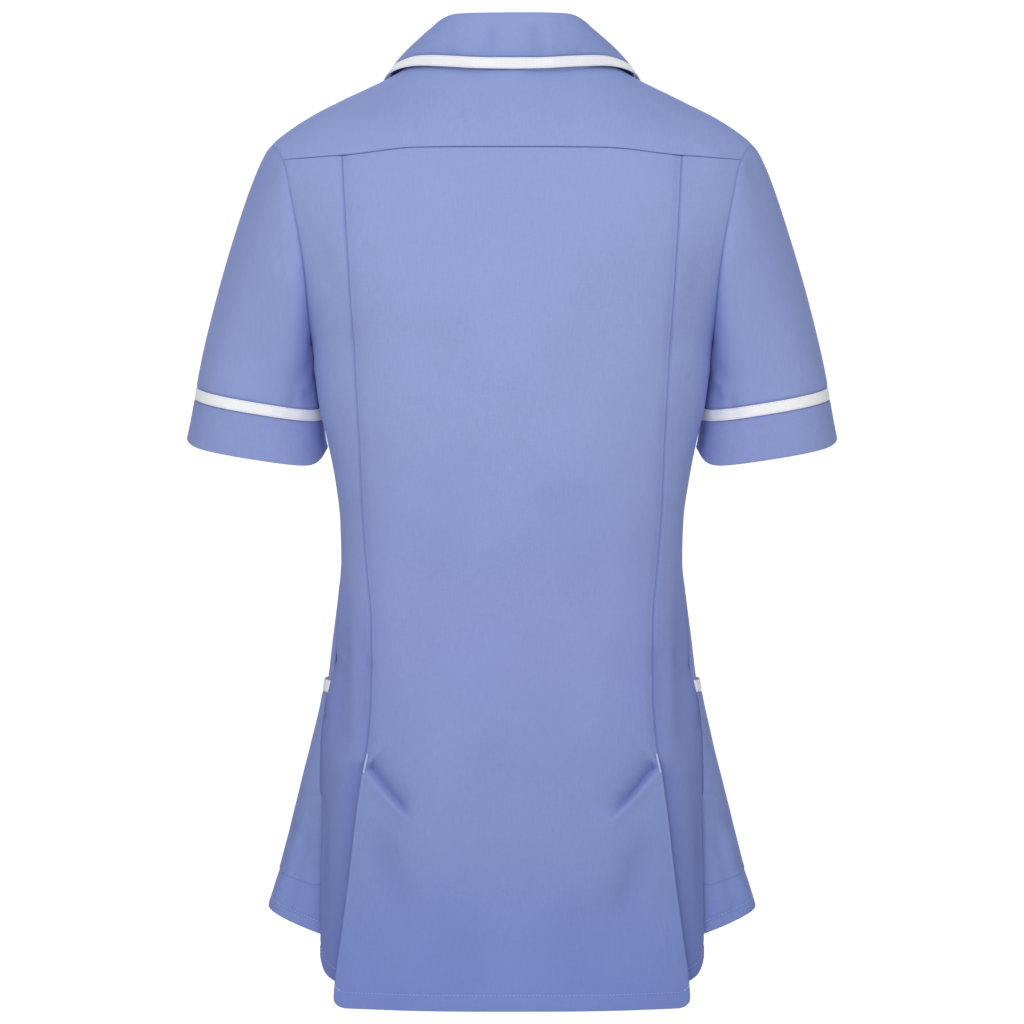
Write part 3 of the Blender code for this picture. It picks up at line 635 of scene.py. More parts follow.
def shellObject(name, grid, start, top, look):
    ring, facing = look.get("ring", False), look["facing"]
    wide, tall = grid.shape[:2]
    columns = wide if ring else wide - 1
    loopStart = start
    if ring:
        closing = np.linalg.norm(grid[0] - grid[-1], axis=1)
        loopStart = np.concatenate([start, start[-1:] + closing])
    faces, uvs = [], []
    for j in range(columns):
        after = (j + 1) % wide
        for i in range(tall - 1):
            corners = [(j, j, i), (after, j + 1, i), (after, j + 1, i + 1), (j, j, i + 1)]
            if facing < 0:
                corners.reverse()
            faces.append([c * tall + r for c, _, r in corners])
            uvs += [(loopStart[u, r] * mm, -top[c, r] * mm) for c, u, r in corners]
    mesh = bpy.data.meshes.new(name)
    mesh.from_pydata((grid.reshape(-1, 3) * mm).tolist(), [], faces)
    layer = mesh.uv_layers.new(name="weave")
    layer.data.foreach_set("uv", np.array(uvs).ravel())
    mesh.shade_smooth()
    mesh.materials.append(whiteTape if look["slot"] == "tape" else blueTwill)
    piece = bpy.data.objects.new(name + "_cloth", mesh)
    bpy.context.scene.collection.objects.link(piece)
    wall = piece.modifiers.new("wall", "SOLIDIFY")
    wall.thickness = look["thickness"] * mm
    wall.offset = -1
    wall.use_even_offset = True
    wall.use_rim = True
    soften = piece.modifiers.new("softEdges", "BEVEL")
    soften.width = look["thickness"] * 0.33 * mm
    soften.segments = 2
    soften.limit_method = "ANGLE"
    soften.angle_limit = math.radians(58)
    return piece


def declareCloth(name):
    piece = cloths[name]["object"]
    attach(piece, "root")
    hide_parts(name)


def stations(start, spans):
    # Places from start through (end, spacing) spans, even within each.
    places = [start]
    for end, spacing in spans:
        first = places[-1]
        count = max(1, round(abs(end - first) / spacing))
        places += [first + (end - first) * i / count for i in range(1, count + 1)]
    return places


def mirrored(place):
    def other(u, level):
        point = place(u, level)
        return Vector((-point.x, point.y, point.z))
    return other


def makePair(name, place, us, levels, look, at=None):
    # The wearer's left piece and its twin; their creases differ where the look says so.
    for side, turn in (("left", 1), ("right", -1)):
        own = dict(look, facing=look["facing"] * turn, seed=look.get("seed", 1) + turn)
        own["creases"] = [(table, source if turn > 0 else mirrored(source))
                          for table, source in look.get("creases" if turn > 0 else "creasesRight",
                                                        look.get("creases", ()))]
        makeCloth(f"{name}_{side}", place if turn > 0 else mirrored(place), us, levels, own)


# Back: yoke, centre panel with its kick pleats, side panels

back = {
    "thickness": 0.8,
    "underlap": 6.0,       # mm that a side panel runs on under the centre panel's fold
    "step": 1.3,           # mm that it lies lower there
    "pleatStart": -548.0,
    "pleatInset": 6.0,
    "pleatUnderlap": 20.0,
    "pleatFlare": 8.0,
    "flareFrom": 0.72,
    "hem": -741.4,
    "hemDrop": 1.6,
    "hemCorner": 8.0,
    "hemTurn": 12.5,
    "sideHemTurn": 10.0,
    "sideHem": (-729.0, -713.0),
    "sideHemCorner": 11.0,
    "levelEnd": -580.0,    # below it the rows close up towards the hem
}

backCreases = (            # x and height of both ends, then width and depth
    dict(start=(117, -462), end=(112, -486), width=5.5, depth=1.3, head=0.3, tail=0.5),
    dict(start=(-117, -459), end=(-111, -484), width=5.5, depth=1.1, head=0.3, tail=0.5),
    dict(start=(121, -430), end=(116, -560), width=7.5, depth=1.2, head=0.3, tail=0.3),
    dict(start=(-121, -440), end=(-116, -556), width=7.5, depth=1.1, head=0.3, tail=0.3),
    dict(start=(146, -196), end=(92, -262), width=13.0, depth=1.0, tail=0.7),
    dict(start=(-146, -190), end=(-96, -270), width=13.0, depth=0.9, tail=0.7),
    dict(start=(152, -120), end=(138, -205), width=8.0, depth=0.8),
    dict(start=(-151, -128), end=(-139, -212), width=8.0, depth=0.9),
    dict(start=(34, -28), end=(52, -62), width=9.0, depth=0.7, tail=0.7),
    dict(start=(-30, -24), end=(-57, -60), width=9.0, depth=0.7, tail=0.7),
    dict(start=(98, -18), end=(140, -52), width=10.0, depth=0.7),
    dict(start=(-102, -20), end=(-138, -55), width=10.0, depth=0.8),
    dict(start=(60, -300), end=(20, -352), width=26.0, depth=1.0),
    dict(start=(-70, -330), end=(-18, -372), width=28.0, depth=1.1),
    dict(start=(84, -398), end=(30, -420), width=20.0, depth=0.9, bow=6),
    dict(start=(-86, -404), end=(-34, -432), width=20.0, depth=0.9, bow=5),
)

centreCreases = (          # the drag that each bar tack pulls into the panel, and the skirt's folds; a crease's tone is its painted shade
    dict(start=(116, -552), end=(75, -596), width=5.5, narrow=1.7, lee=0.10, lip=-1, depth=7.0,
         tone=0.46, head=0.04, tail=0.42, bow=-1),
    dict(start=(-116, -552), end=(-74, -595), width=5.5, narrow=1.7, lee=0.10, lip=1, depth=6.8,
         tone=0.46, head=0.04, tail=0.42, bow=-1),
    dict(start=(110, -564), end=(66, -610), width=5.5, depth=-1.5, tone=0.0, head=0.2, tail=0.5),
    dict(start=(-110, -564), end=(-65, -608), width=5.5, depth=-1.4, tone=0.0, head=0.2, tail=0.5),
    dict(start=(113, -590), end=(76, -690), width=14.0, depth=2.8, tone=0.14, tail=0.6),
    dict(start=(-113, -592), end=(-72, -696), width=14.0, depth=2.7, tone=0.14, tail=0.6),
    dict(start=(60, -628), end=(40, -735), width=24.0, depth=1.8, tail=0.1),
    dict(start=(-50, -640), end=(-52, -735), width=26.0, depth=1.7, tail=0.1),
    dict(start=(4, -560), end=(-8, -700), width=30.0, depth=-1.4),
)

sideCreases = (
    dict(start=(150, -560), end=(150, -700), width=8.0, depth=1.4),
    dict(start=(-150, -566), end=(-150, -696), width=8.0, depth=1.3),
    dict(start=(134, -380), end=(137, -560), width=11.0, depth=2.6, head=0.5, tail=0.25),
    dict(start=(-134, -376), end=(-137, -562), width=11.0, depth=2.5, head=0.5, tail=0.25),
    dict(start=(131, -456), end=(136, -474), width=4.0, depth=1.0),
    dict(start=(-130, -460), end=(-136, -480), width=4.0, depth=1.0),
    dict(start=(147, -462), end=(134, -484), width=4.5, depth=1.0),
    dict(start=(-147, -466), end=(-134, -488), width=4.5, depth=0.9),
    dict(start=(153, -502), end=(146, -530), width=4.5, depth=1.0),
    dict(start=(-153, -505), end=(-146, -536), width=4.5, depth=1.0),
)


def backHeight(seamX, level, hem):
    # Height on the back of a nominal level, for the column that meets the yoke seam at seamX.
    if level >= underarm:
        share = (yokeFoot - level) / (yokeFoot - underarm)
        return yokeSeam(abs(seamX)) + (underarm - yokeSeam(abs(seamX))) * share
    last = back["levelEnd"]
    if level >= last:
        return level
    return last + (hem - last) * (last - level) / (last - back["hem"])


def centrePanel(u, level):
    hem = back["hem"] - back["hemDrop"] * u * u
    hem += cornerRise((1 - abs(u)) * pleatLine(back["hem"]), back["hemCorner"])
    z = backHeight(u * pleatLine(yokeFoot), level, hem)
    point = backPoint(u * pleatLine(max(level, z) if level < underarm else level), z)
    low = ramp(z, back["pleatStart"] - 6, back["hem"])
    flare = back["pleatFlare"] * low ** 1.2 * ramp(abs(u), back["flareFrom"], 1.0) ** 2
    return point + outward(point, backWidth(z), backDepth(z)) * flare


def sideBackAngles(level, z):
    nominal = level if level > underarm else z
    width = backWidth(nominal)
    open_ = ramp(z, back["pleatStart"] - 7, -580)
    underlap = back["underlap"] + (back["pleatUnderlap"] - back["underlap"]) * open_
    first = angleOf(pleatLine(nominal) - underlap, width)
    if level > underarm:
        return first, angleOf(armholeBack(level), width), width
    return first, math.asin((sideSeamDepth(z) / backDepth(z)) ** (corner / 2)), width


def sideSeamX(u):
    first, last, width = sideBackAngles(yokeFoot, yokeFoot)
    return along(math.cos(first + (last - first) * u), width)


def sidePanel(u, level):
    u = min(max(u, 0.0), 1.0)
    hem = back["sideHem"][0] + (back["sideHem"][1] - back["sideHem"][0]) * u ** 2.5
    hem += cornerRise((1 - u) * 48.0, back["sideHemCorner"])
    z = backHeight(sideSeamX(u), level, hem)
    first, last, width = sideBackAngles(level, z)
    x = along(math.cos(first + (last - first) * u), width)
    point = backPoint(x, z)
    pleat = pleatLine(level if level > underarm else z)
    deep = ramp(z, back["pleatStart"], back["pleatStart"] - 7)
    blend = 2.5 + 15.0 * deep
    under = ramp(x, pleat + blend, pleat) ** 1.5
    inset = under * (back["step"] + (back["pleatInset"] - back["step"]) * deep)
    return point - outward(point, backWidth(z), backDepth(z)) * inset


def yokePanel(u, level):
    # u is the column's x at the yoke seam; level runs from the shoulder point down to it.
    footX = armholeBack(yokeFoot)
    x = u * armholeBack(level) / footX
    topX = abs(u) * armholeBack(shoulderPoint) / footX
    top = neck["rise"] * (topX / neck["side"]) ** 3 if topX < neck["side"] else shoulderLine(topX)
    share = (shoulderPoint - level) / (shoulderPoint - yokeFoot)
    return backPoint(x, top + (yokeSeam(abs(u)) - top) * share)


neck = {
    "side": 81.0,          # half of the neck's width at the shoulder
    "rise": 9.5,
    "vPoint": -135.0,      # where a front's slanted edge meets its straight one
    "lap": 18.0,
}


def sideBackPaintedShade(grid):
    # Painted shade: a fine dark line beside the pleat's fold, the shadow where it hangs open, and a
    # darker hip, deeper towards the side seam.
    away = np.array([[abs(x) - pleatLine(z) for x, y, z in line] for line in grid.tolist()])
    open_ = np.clip((back["pleatStart"] - grid[..., 2]) / 14, 0, 1)
    line = 0.34 * (1 - open_) * np.exp(-np.clip(away, 0, None) / 1.1)
    paintedHipShade = (0.09 + 0.12 * np.clip((away - 18) / 14, 0, 1)) * np.clip((-390 - grid[..., 2]) / 70, 0, 1)
    return line + paintedHipShade + 0.36 * open_ * np.exp(-np.clip(away, 0, None) / 15.0)


def makeBacks():
    half = stations(0, [(72, 3.2), (121.5, 1.8), (125, 0.7)])
    shares = [x / 125 for x in half]
    us = [-u for u in reversed(shares)] + shares[1:]
    top = yokeFoot + sewing["underlap"]
    under = (yokeFoot, sewing["underlap"] / sewing["underRows"])
    levels = stations(top, [under, (-74, 0.8), (-540, 3.5), (-612, 1.7), (-738, 3.4),
                            (back["hem"], 0.9)])
    closed = [ramp(level, back["pleatStart"] - 4, back["pleatStart"] + 2) for level in levels]
    look = {"slot": "cloth", "thickness": back["thickness"], "facing": 1, "seed": 2,
            "creases": [(backCreases, backPoint), (centreCreases, backPoint)],
            "borders": {"top": "under", "foot": back["hemTurn"], "start": ("fold", closed),
                        "end": ("fold", closed)}}
    makeCloth("back_centre", centrePanel, us, levels, look)
    across = [x / 56 for x in stations(0, [(3, 1.0), (14, 1.2), (53, 2.6), (56, 0.8)])]
    levels = stations(top, [under, (-74, 0.8), (-560, 3.5), (-738, 3.2), (back["hem"], 0.9)])
    shallow = [0.1 + 0.9 * ramp(level, underarm, underarm - 30) for level in levels]
    look = dict(look, creases=[(backCreases, backPoint), (sideCreases, backPoint)], seed=5,
                tone=sideBackPaintedShade,
                borders={"top": "under", "end": ("seam", shallow), "foot": back["sideHemTurn"]})
    for side, turn in (("left", 1), ("right", -1)):
        place = sidePanel if turn > 0 else mirrored(sidePanel)
        makeCloth("back_side_" + side, place, across, levels, dict(look, facing=turn))
    footX = armholeBack(yokeFoot)
    half = stations(0, [(60, 3.2), (92, 1.6), (178, 3.2), (footX, 0.8)])
    us = [-x for x in reversed(half)] + half[1:]
    levels = [shoulderPoint + (yokeFoot - shoulderPoint) * share / 100
              for share in stations(0, [(4, 1.0), (96, 3.0), (100, 0.8)])]
    look = {"slot": "cloth", "thickness": back["thickness"], "facing": 1, "seed": 8,
            "creases": [(backCreases, backPoint)],
            "borders": {"top": "seam", "foot": "soft", "start": "soft", "end": "soft"}}
    makeCloth("yoke", yokePanel, us, levels, look)


makeBacks()
print("backs and yoke made")


# Fronts, which lap right over left, and their lapels

front = {
    "thickness": 0.8,
    "lapInset": 1.9,       # mm that the left front lies under the right one
    "lapStart": (-62.0, -92.0),
    "band": 1 / 7,         # share of the columns in the strip along the front edge
    "ventStart": -574.0,
    "ventTuck": (8.0, 6.0),  # the free edge lies this far in and forward of the back's
    "ventBlend": 26.0,
    "levelEnd": -670.0,
    "hem": (-672.0, -670.0, -690.0),  # at the middle, the side and the vent
    "hemTurn": 9.5,
}

lapelSize = {
    "top": -27.2,
    "foot": -100.0,
    "width": (50.0, 2.0),
    "lift": 3.0,
    "thickness": 1.5,
}

frontCreases = (           # degrees round the body, -90 in front and 0 at the side, and height
    dict(start=(-14, -222), end=(-46, -262), width=12.0, depth=1.5, tail=0.7, bow=4),
    dict(start=(-8, -246), end=(-38, -318), width=12.0, depth=1.3, tail=0.7, bow=5),
    dict(start=(-58, -282), end=(-44, -372), width=18.0, depth=1.3),
    dict(start=(-74, -330), end=(-40, -402), width=16.0, depth=1.2, bow=-5),
    dict(start=(-66, -404), end=(-20, -436), width=13.0, depth=1.3, bow=6),
    dict(start=(-4, -428), end=(-34, -470), width=10.0, depth=1.1, bow=4),
    dict(start=(-30, -470), end=(-38, -662), width=24.0, depth=1.6, tail=0.1),
    dict(start=(-62, -500), end=(-58, -668), width=22.0, depth=1.3, tail=0.1),
    dict(start=(8, -560), end=(2, -668), width=9.0, depth=1.6, tail=0.1),
    dict(start=(20, -590), end=(17, -676), width=7.0, depth=-1.2, tail=0.1),
    dict(start=(26, -600), end=(-6, -613), width=8.0, depth=1.5, bow=-3),
    dict(start=(28, -630), end=(-4, -642), width=9.0, depth=1.5, bow=-2),
    dict(start=(26, -584), end=(28, -680), width=5.0, depth=1.5, tail=0.1),
)

frontCreasesRight = (
    dict(start=(-15, -224), end=(-48, -270), width=12.0, depth=1.4, tail=0.7, bow=5),
    dict(start=(-8, -252), end=(-40, -306), width=13.0, depth=1.4, tail=0.7, bow=3),
    dict(start=(-60, -300), end=(-46, -360), width=17.0, depth=1.2),
    dict(start=(-72, -346), end=(-42, -398), width=15.0, depth=1.2, bow=-4),
    dict(start=(-64, -412), end=(-18, -430), width=12.0, depth=1.4, bow=7),
    dict(start=(-5, -436), end=(-36, -482), width=11.0, depth=1.0, bow=4),
    dict(start=(-33, -480), end=(-42, -664), width=23.0, depth=1.5, tail=0.1),
    dict(start=(-60, -520), end=(-63, -668), width=20.0, depth=1.2, tail=0.1),
    dict(start=(7, -566), end=(3, -670), width=9.0, depth=1.5, tail=0.1),
    dict(start=(21, -596), end=(16, -678), width=7.0, depth=-1.1, tail=0.1),
    dict(start=(27, -594), end=(-5, -606), width=8.0, depth=1.5, bow=-3),
    dict(start=(28, -634), end=(-4, -640), width=9.0, depth=1.4, bow=-2),
    dict(start=(26, -590), end=(28, -680), width=5.0, depth=1.4, tail=0.1),
)


def neckEdgeX(z):
    # The front's inner edge: slanted from the shoulder down, then straight to the hem.
    return -neck["lap"] + (neck["side"] + neck["lap"]) * ramp(z, neck["vPoint"], neck["rise"])


def frontHem(angle):
    middle, side, vent = front["hem"]
    if angle < 0:
        return side + (middle - side) * (angle / math.radians(-90)) ** 2
    return side + (vent - side) * ramp(angle, 0, math.radians(43)) ** 1.5


def ventEdge(z):
    # The front's outer edge behind the side: the side seam, then the free edge of the vent.
    depth = sideSeamDepth(z)
    x = backWidth(z) * (1 - (depth / backDepth(z)) ** corner) ** (1 / corner)
    tuck = ramp(z, front["ventStart"], front["ventStart"] - front["ventBlend"])
    return x - front["ventTuck"][0] * tuck, depth - front["ventTuck"][1] * tuck


def frontSection(angle, z):
    # A point of the front below the underarm: angles are negative in front and positive behind.
    width = frontWidth(z)
    x = along(math.cos(angle), width)
    if angle <= 0:
        return Vector((x, along(math.sin(angle), frontDepth(z)), z))
    edgeX, edgeY = ventEdge(z)
    depth = edgeY / max(math.sin(angleOf(edgeX, width)), 1e-6) ** (2 / corner)
    return Vector((x, along(math.sin(angle), depth), z))


def frontAt(degrees, z):
    if z > underarm:
        return frontPoint(along(math.cos(math.radians(degrees)), frontWidth(z)), z)
    return frontSection(math.radians(degrees), z)


def frontAngle(u, edgeX, last, width):
    # The angle of a column: a strip of even width along the front edge, then even angles.
    if u <= front["band"]:
        return -angleOf(edgeX + 2 * neck["lap"] * u / front["band"], width)
    first = -angleOf(edgeX + 2 * neck["lap"], width)
    return first + (last - first) * (u - front["band"]) / (1 - front["band"])


def frontPanel(u, level):
    u = min(max(u, 0.0), 1.0)
    if level > underarm:
        turn = (shoulderPoint - level) / (shoulderPoint - underarm)
        innerZ = neck["rise"] + (underarm - neck["rise"]) * turn
        width = frontWidth(level)
        last = -angleOf(armholeFront(level), width)
        x = along(math.cos(frontAngle(u, neckEdgeX(innerZ), last, width)), width)
        topWidth = frontWidth(shoulderPoint)
        topLast = -angleOf(armholeFront(shoulderPoint), topWidth)
        top = shoulderLine(along(math.cos(frontAngle(u, neck["side"], topLast, topWidth)), topWidth))
        return frontPoint(x, top + (underarm - top) * turn)

    def angleAt(z):
        edgeX, edgeY = ventEdge(z)
        last = angleOf(edgeX, frontWidth(z)) if edgeY > 0 else 0.0
        return frontAngle(u, -neck["lap"], last, frontWidth(z))

    if level >= front["ventStart"]:
        return frontSection(angleAt(level), level)
    start = front["ventStart"]
    share = (start - level) / (start - front["levelEnd"])
    z = start + (front["hem"][0] - start) * share
    z = start + (frontHem(angleAt(z)) - start) * share
    return frontSection(angleAt(z), z)


def leftFront(u, level):
    point = frontPanel(u, level)
    under = ramp(u, front["band"] * 1.5, front["band"])
    point.y += front["lapInset"] * under * ramp(point.z, *front["lapStart"])
    return point


def lapelPanel(u, row):
    # The turned-back facing: u from the roll line outwards, row down it.
    top, foot = lapelSize["top"], lapelSize["foot"]
    z = top + (foot - top) * row
    roll = Vector((neckEdgeX(top) - neckEdgeX(foot), top - foot)).normalized()
    width = lapelSize["width"][0] * (1 - row) ** 0.8 + lapelSize["width"][1]
    lift = lapelSize["lift"] + 1.5 * (1 - u) ** 2
    down = roll.x * width * u - z
    return lifted(lambda x, low: frontPoint(x, -low), neckEdgeX(z) + roll.y * width * u, down, lift)


def frontPaintedShadow(grid):
    # Painted shadow beside the vent, where a front goes in under the back's edge.
    edges = np.array([[ventEdge(z)[0] for x, y, z in line] for line in grid.tolist()])
    away = np.abs(grid[..., 0]) - edges - front["ventTuck"][0]
    low = np.clip((front["ventStart"] - 10 - grid[..., 2]) / 30, 0, 1) * (grid[..., 1] > 0)
    return 0.26 * low * np.exp(-np.clip(away, 0, None) / 7.0)


def makeFronts():
    us = [share / 250 for share in stations(0, [(3, 1.0), (36, 2.8), (246, 2.9), (250, 0.9)])]
    levels = stations(shoulderPoint, [(-64, 0.9), (-82, 1.6), (-214, 3.2), (-662, 3.4), (-666, 2.0),
                                      (-670, 1.0)])
    shallow = [0.1 + 0.9 * ramp(level, underarm, underarm - 30) for level in levels]
    look = {"slot": "cloth", "thickness": front["thickness"], "facing": -1, "seed": 11,
            "creases": [(frontCreases, frontAt)], "tone": frontPaintedShadow,
            "borders": {"top": "seam", "end": ("seam", shallow), "start": "soft",
                        "foot": front["hemTurn"]}}
    makeCloth("front_left", leftFront, us, levels, look)
    look = dict(look, facing=1, seed=14, creases=[(frontCreasesRight, mirrored(frontAt))])
    makeCloth("front_right", mirrored(frontPanel), us, levels, look)
    us = [share / 50 for share in stations(0, [(3, 1.0), (47, 2.4), (50, 1.0)])]
    rows = [share / 73 for share in stations(0, [(3, 1.0), (70, 2.4), (73, 1.0)])]
    look = {"slot": "cloth", "thickness": lapelSize["thickness"], "facing": -1, "uneven": 0.5,
            "seed": 17, "borders": {"start": "soft", "end": "soft", "top": "soft", "foot": "soft"}}
    makePair("lapel", lapelPanel, us, rows, look)


makeFronts()
print("fronts and lapels made")


# Sleeves, each with a tape and a turned-up cuff

sleeve = {
    "thickness": 0.8,
    "cuffThickness": 1.6,
    "hem": (208.3, -34, -303),
    "across": (57.5, 0, 9),
    "deep": (0, 62, -7),
    "splay": (0.035, 0.135),
    "band": 46.0,          # straight lower stretch that holds tape and cuff
    "tape": 9.5,
    "headTop": (40, 0, -42),
    "headSide": (30, 10, -60),
    "headBottom": (10, -8, -50),
    "cuffCorner": (13.0, 3.5),  # mm that the cuff's hem rises at its inner and outer folds
    "turning": 2.5,        # mm that the sleeve runs on inside the armhole
}

sleeveCreases = (          # degrees round the sleeve, 0 outside and 90 behind, and share down it
    dict(start=(180, 0.0), end=(180, 0.40), width=12.0, depth=-2.4, head=0.2, tail=0.4),
    dict(start=(172, 0.30), end=(104, 0.98), width=10.0, depth=1.5, tail=0.5),
    dict(start=(158, 0.62), end=(140, 1.12), width=6.0, depth=1.2),
    dict(start=(128, 0.80), end=(118, 1.10), width=5.5, depth=1.3),
    dict(start=(146, 0.74), end=(133, 1.02), width=5.0, depth=1.3),
    dict(start=(96, 0.10), end=(60, 0.42), width=12.0, depth=0.9),
    dict(start=(38, 0.06), end=(20, 0.34), width=9.0, depth=0.8),
    dict(start=(70, 0.52), end=(44, 0.90), width=13.0, depth=-0.8),
    dict(start=(206, 0.20), end=(262, 0.70), width=11.0, depth=1.5, tail=0.6),
    dict(start=(232, 0.10), end=(284, 0.42), width=11.0, depth=1.2, tail=0.7),
    dict(start=(300, 0.16), end=(318, 0.60), width=12.0, depth=0.8),
    dict(start=(250, 0.66), end=(236, 1.10), width=7.0, depth=1.0),
)

sleeveCreasesRight = (
    dict(start=(180, 0.0), end=(180, 0.40), width=12.0, depth=-2.4, head=0.2, tail=0.4),
    dict(start=(172, 0.26), end=(108, 0.94), width=10.0, depth=1.4, tail=0.5),
    dict(start=(160, 0.56), end=(138, 1.10), width=6.5, depth=1.1),
    dict(start=(124, 0.84), end=(116, 1.14), width=5.0, depth=1.3),
    dict(start=(148, 0.70), end=(131, 1.03), width=5.0, depth=1.3),
    dict(start=(94, 0.14), end=(64, 0.50), width=12.0, depth=0.8),
    dict(start=(36, 0.05), end=(24, 0.30), width=9.0, depth=0.9),
    dict(start=(66, 0.58), end=(46, 0.92), width=13.0, depth=-0.8),
    dict(start=(204, 0.22), end=(258, 0.66), width=11.0, depth=1.4, tail=0.6),
    dict(start=(230, 0.12), end=(288, 0.48), width=11.0, depth=1.3, tail=0.7),
    dict(start=(304, 0.20), end=(316, 0.62), width=12.0, depth=0.8),
    dict(start=(254, 0.70), end=(238, 1.12), width=7.0, depth=0.9),
)


def armholePoint(angle):
    # A point of the armhole, from the shoulder down the back and up the front.
    z = shoulderPoint + (underarm - shoulderPoint) * (1 - math.cos(angle)) / 2
    if angle <= math.pi:
        return backPoint(armholeBack(z), z)
    return frontPoint(armholeFront(z), z)


def sleeveDown(angle):
    return Vector((sleeve["splay"][0] + sleeve["splay"][1] * math.cos(angle), 0, -1)).normalized()


def sleeveHem(angle):
    hem, across, deep = Vector(sleeve["hem"]), Vector(sleeve["across"]), Vector(sleeve["deep"])
    return hem + across * along(math.cos(angle), 1) + deep * along(math.sin(angle), 1)


def sleevePanel(angle, row):
    # From the armhole at row 0 to the tape at row 1; before row 0 is the turning inside the armhole.
    c, s = math.cos(angle), math.sin(angle)
    top, bottom = Vector(sleeve["headTop"]), Vector(sleeve["headBottom"])
    sideX, sideY, sideZ = sleeve["headSide"]
    side = Vector((sideX, sideY * math.copysign(1, s), sideZ))
    half = (top - bottom) / 2 * c
    leave = ((top + bottom) / 2 + half) * c * c + (side + half) * s * s
    start = armholePoint(angle)
    if row < 0:
        return start - (leave.normalized() + Vector((0, 0, 0.6))) * sleeve["turning"]
    down = sleeveDown(angle)
    end = sleeveHem(angle) - down * sleeve["band"]
    arrive = down * (end - start).length
    t = row
    point = start * (2 * t**3 - 3 * t**2 + 1) + leave * (t**3 - 2 * t**2 + t)
    return point + end * (3 * t**2 - 2 * t**3) + arrive * (t**3 - t**2)


def sleeveBand(start, end):
    # A straight band of the sleeve between two heights above its hem.
    def place(angle, row):
        return sleeveHem(angle) - sleeveDown(angle) * (start + (end - start) * row)
    return place


def cuffPanel(angle, row):
    turn = math.cos(angle)
    rise = sleeve["cuffCorner"][0 if turn < 0 else 1] * turn ** 10 * max(row, 0.0) ** 2
    return sleeveBand(sleeve["band"] - sleeve["tape"], 0)(angle, row) + Vector((0, 0, rise))


def sleeveAt(degrees, share):
    # Share 0 to 1 runs down the sleeve, and past 1 over the tape and cuff.
    angle = math.radians(degrees)
    if share <= 1:
        return sleevePanel(angle, share)
    return sleeveBand(sleeve["band"], 0)(angle, (share - 1) * 4)


def capShare(angle):
    # How deep the sleeve dips under the armhole's edge: not over the shoulder, fully lower down.
    return 0.15 + 0.85 * ramp(abs(math.pi - angle), 2.65, 1.9)


def sleevePaintedShade(grid):
    # Painted shade: the sleeve is a little darker on its outer side.
    return 0.06 * np.clip((np.abs(grid[..., 0]) - 165) / 35, 0, 1)


# painted shade on the cuff, twice the sleeve's
def cuffPaintedShade(grid):
    return 2 * sleevePaintedShade(grid)


def makeSleeves():
    ring = [2 * math.pi * i / 132 for i in range(132)]
    creases = {"creases": [(sleeveCreases, sleeveAt)], "creasesRight": [(sleeveCreasesRight, sleeveAt)]}
    look = {"slot": "cloth", "thickness": sleeve["thickness"], "facing": -1, "ring": True, "seed": 21,
            "tone": sleevePaintedShade, **creases,
            "borders": {"top": ("deep", [[capShare(angle)] for angle in ring]), "foot": "seam"}}
    rows = [-0.01] + [share / 200 for share in stations(0, [(4, 1.0), (196, 3.0), (200, 1.0)])]
    makePair("sleeve", sleevePanel, ring, rows, look)
    lower = sleeve["band"] - sleeve["tape"]
    del look["tone"]
    look = dict(look, slot="tape", borders={"top": "soft", "foot": "soft"}, seed=24)
    rows = [share / sleeve["tape"]
            for share in stations(0, [(1.5, 0.75), (8, 1.6), (sleeve["tape"], 0.75)])]
    makePair("sleeve_tape", sleeveBand(sleeve["band"], lower), ring, rows, look)
    look = dict(look, slot="cloth", thickness=sleeve["cuffThickness"], tone=cuffPaintedShade, seed=27,
                borders={"top": "seam"})
    rows = [share / lower for share in stations(0, [(2, 1.0), (lower - 6, 2.8), (lower, 1.2)])]
    makePair("cuff", cuffPanel, ring, rows, look)


makeSleeves()
print("sleeves, tapes and cuffs made")


# Collar with its stand, fold and fall, and the tape along the fall's edge

collar = {
    "thickness": 1.7,
    "tape": 9.5,
    "rows": (              # share round the neck, then the fold and the outer edge: x, y, z
        (0, 0, 59, 45, 0, 66.4, -1), (0.15, 22, 56, 45.2, 27, 62, 0), (0.30, 44, 45, 45.6, 56, 49.5, 3),
        (0.42, 55.5, 29, 41.5, 82, 30, 5.5), (0.54, 61.5, 8, 35.5, 100, 8, 2.8),
        (0.66, 64, -16, 26, 107, -22, -5), (0.78, 63, -38, 9, 109, -46, -20),
        (0.90, 58.6, -57.4, -13.4, 107, -62, -33), (1, 53.8, -67.7, -24.2, 102, -71.5, -42),
    ),
    "seam": ((0, 0), (0.15, 24), (0.30, 47), (0.42, 67), (0.50, 77.5), (0.55, 81), (0.60, 81.5)),
    "side": 0.55,          # where the collar crosses the shoulder seam
    "end": -26.0,          # height of its front end on the neck edge
    "fold": (2.3, 3.5),    # radius of the fold, low and high stand
    "seat": 0.5,
    "bulge": 3.0,
}

collarCreases = (          # share round the collar, and row: 2 at the fold and 3 at the edge
    dict(start=(0.10, 2.08), end=(0.12, 2.98), width=6.5, depth=2.2, tail=0.3),
    dict(start=(-0.12, 2.05), end=(-0.13, 2.98), width=6.5, depth=2.3, tail=0.3),
    dict(start=(0.0, 2.1), end=(0.0, 2.98), width=9.0, depth=-0.9, tail=0.3),
    dict(start=(0.27, 2.55), end=(0.25, 2.98), width=4.5, depth=1.0),
    dict(start=(-0.30, 2.6), end=(-0.27, 2.98), width=4.5, depth=1.1),
    dict(start=(0.46, 2.2), end=(0.50, 2.9), width=8.0, depth=0.6),
    dict(start=(-0.44, 2.3), end=(-0.49, 2.9), width=8.0, depth=0.6),
)

collarFold = [column(collar["rows"], i) for i in (1, 2, 3)]
collarEdge = [column(collar["rows"], i) for i in (4, 5, 6)]
collarSeam = curveThrough(collar["seam"])


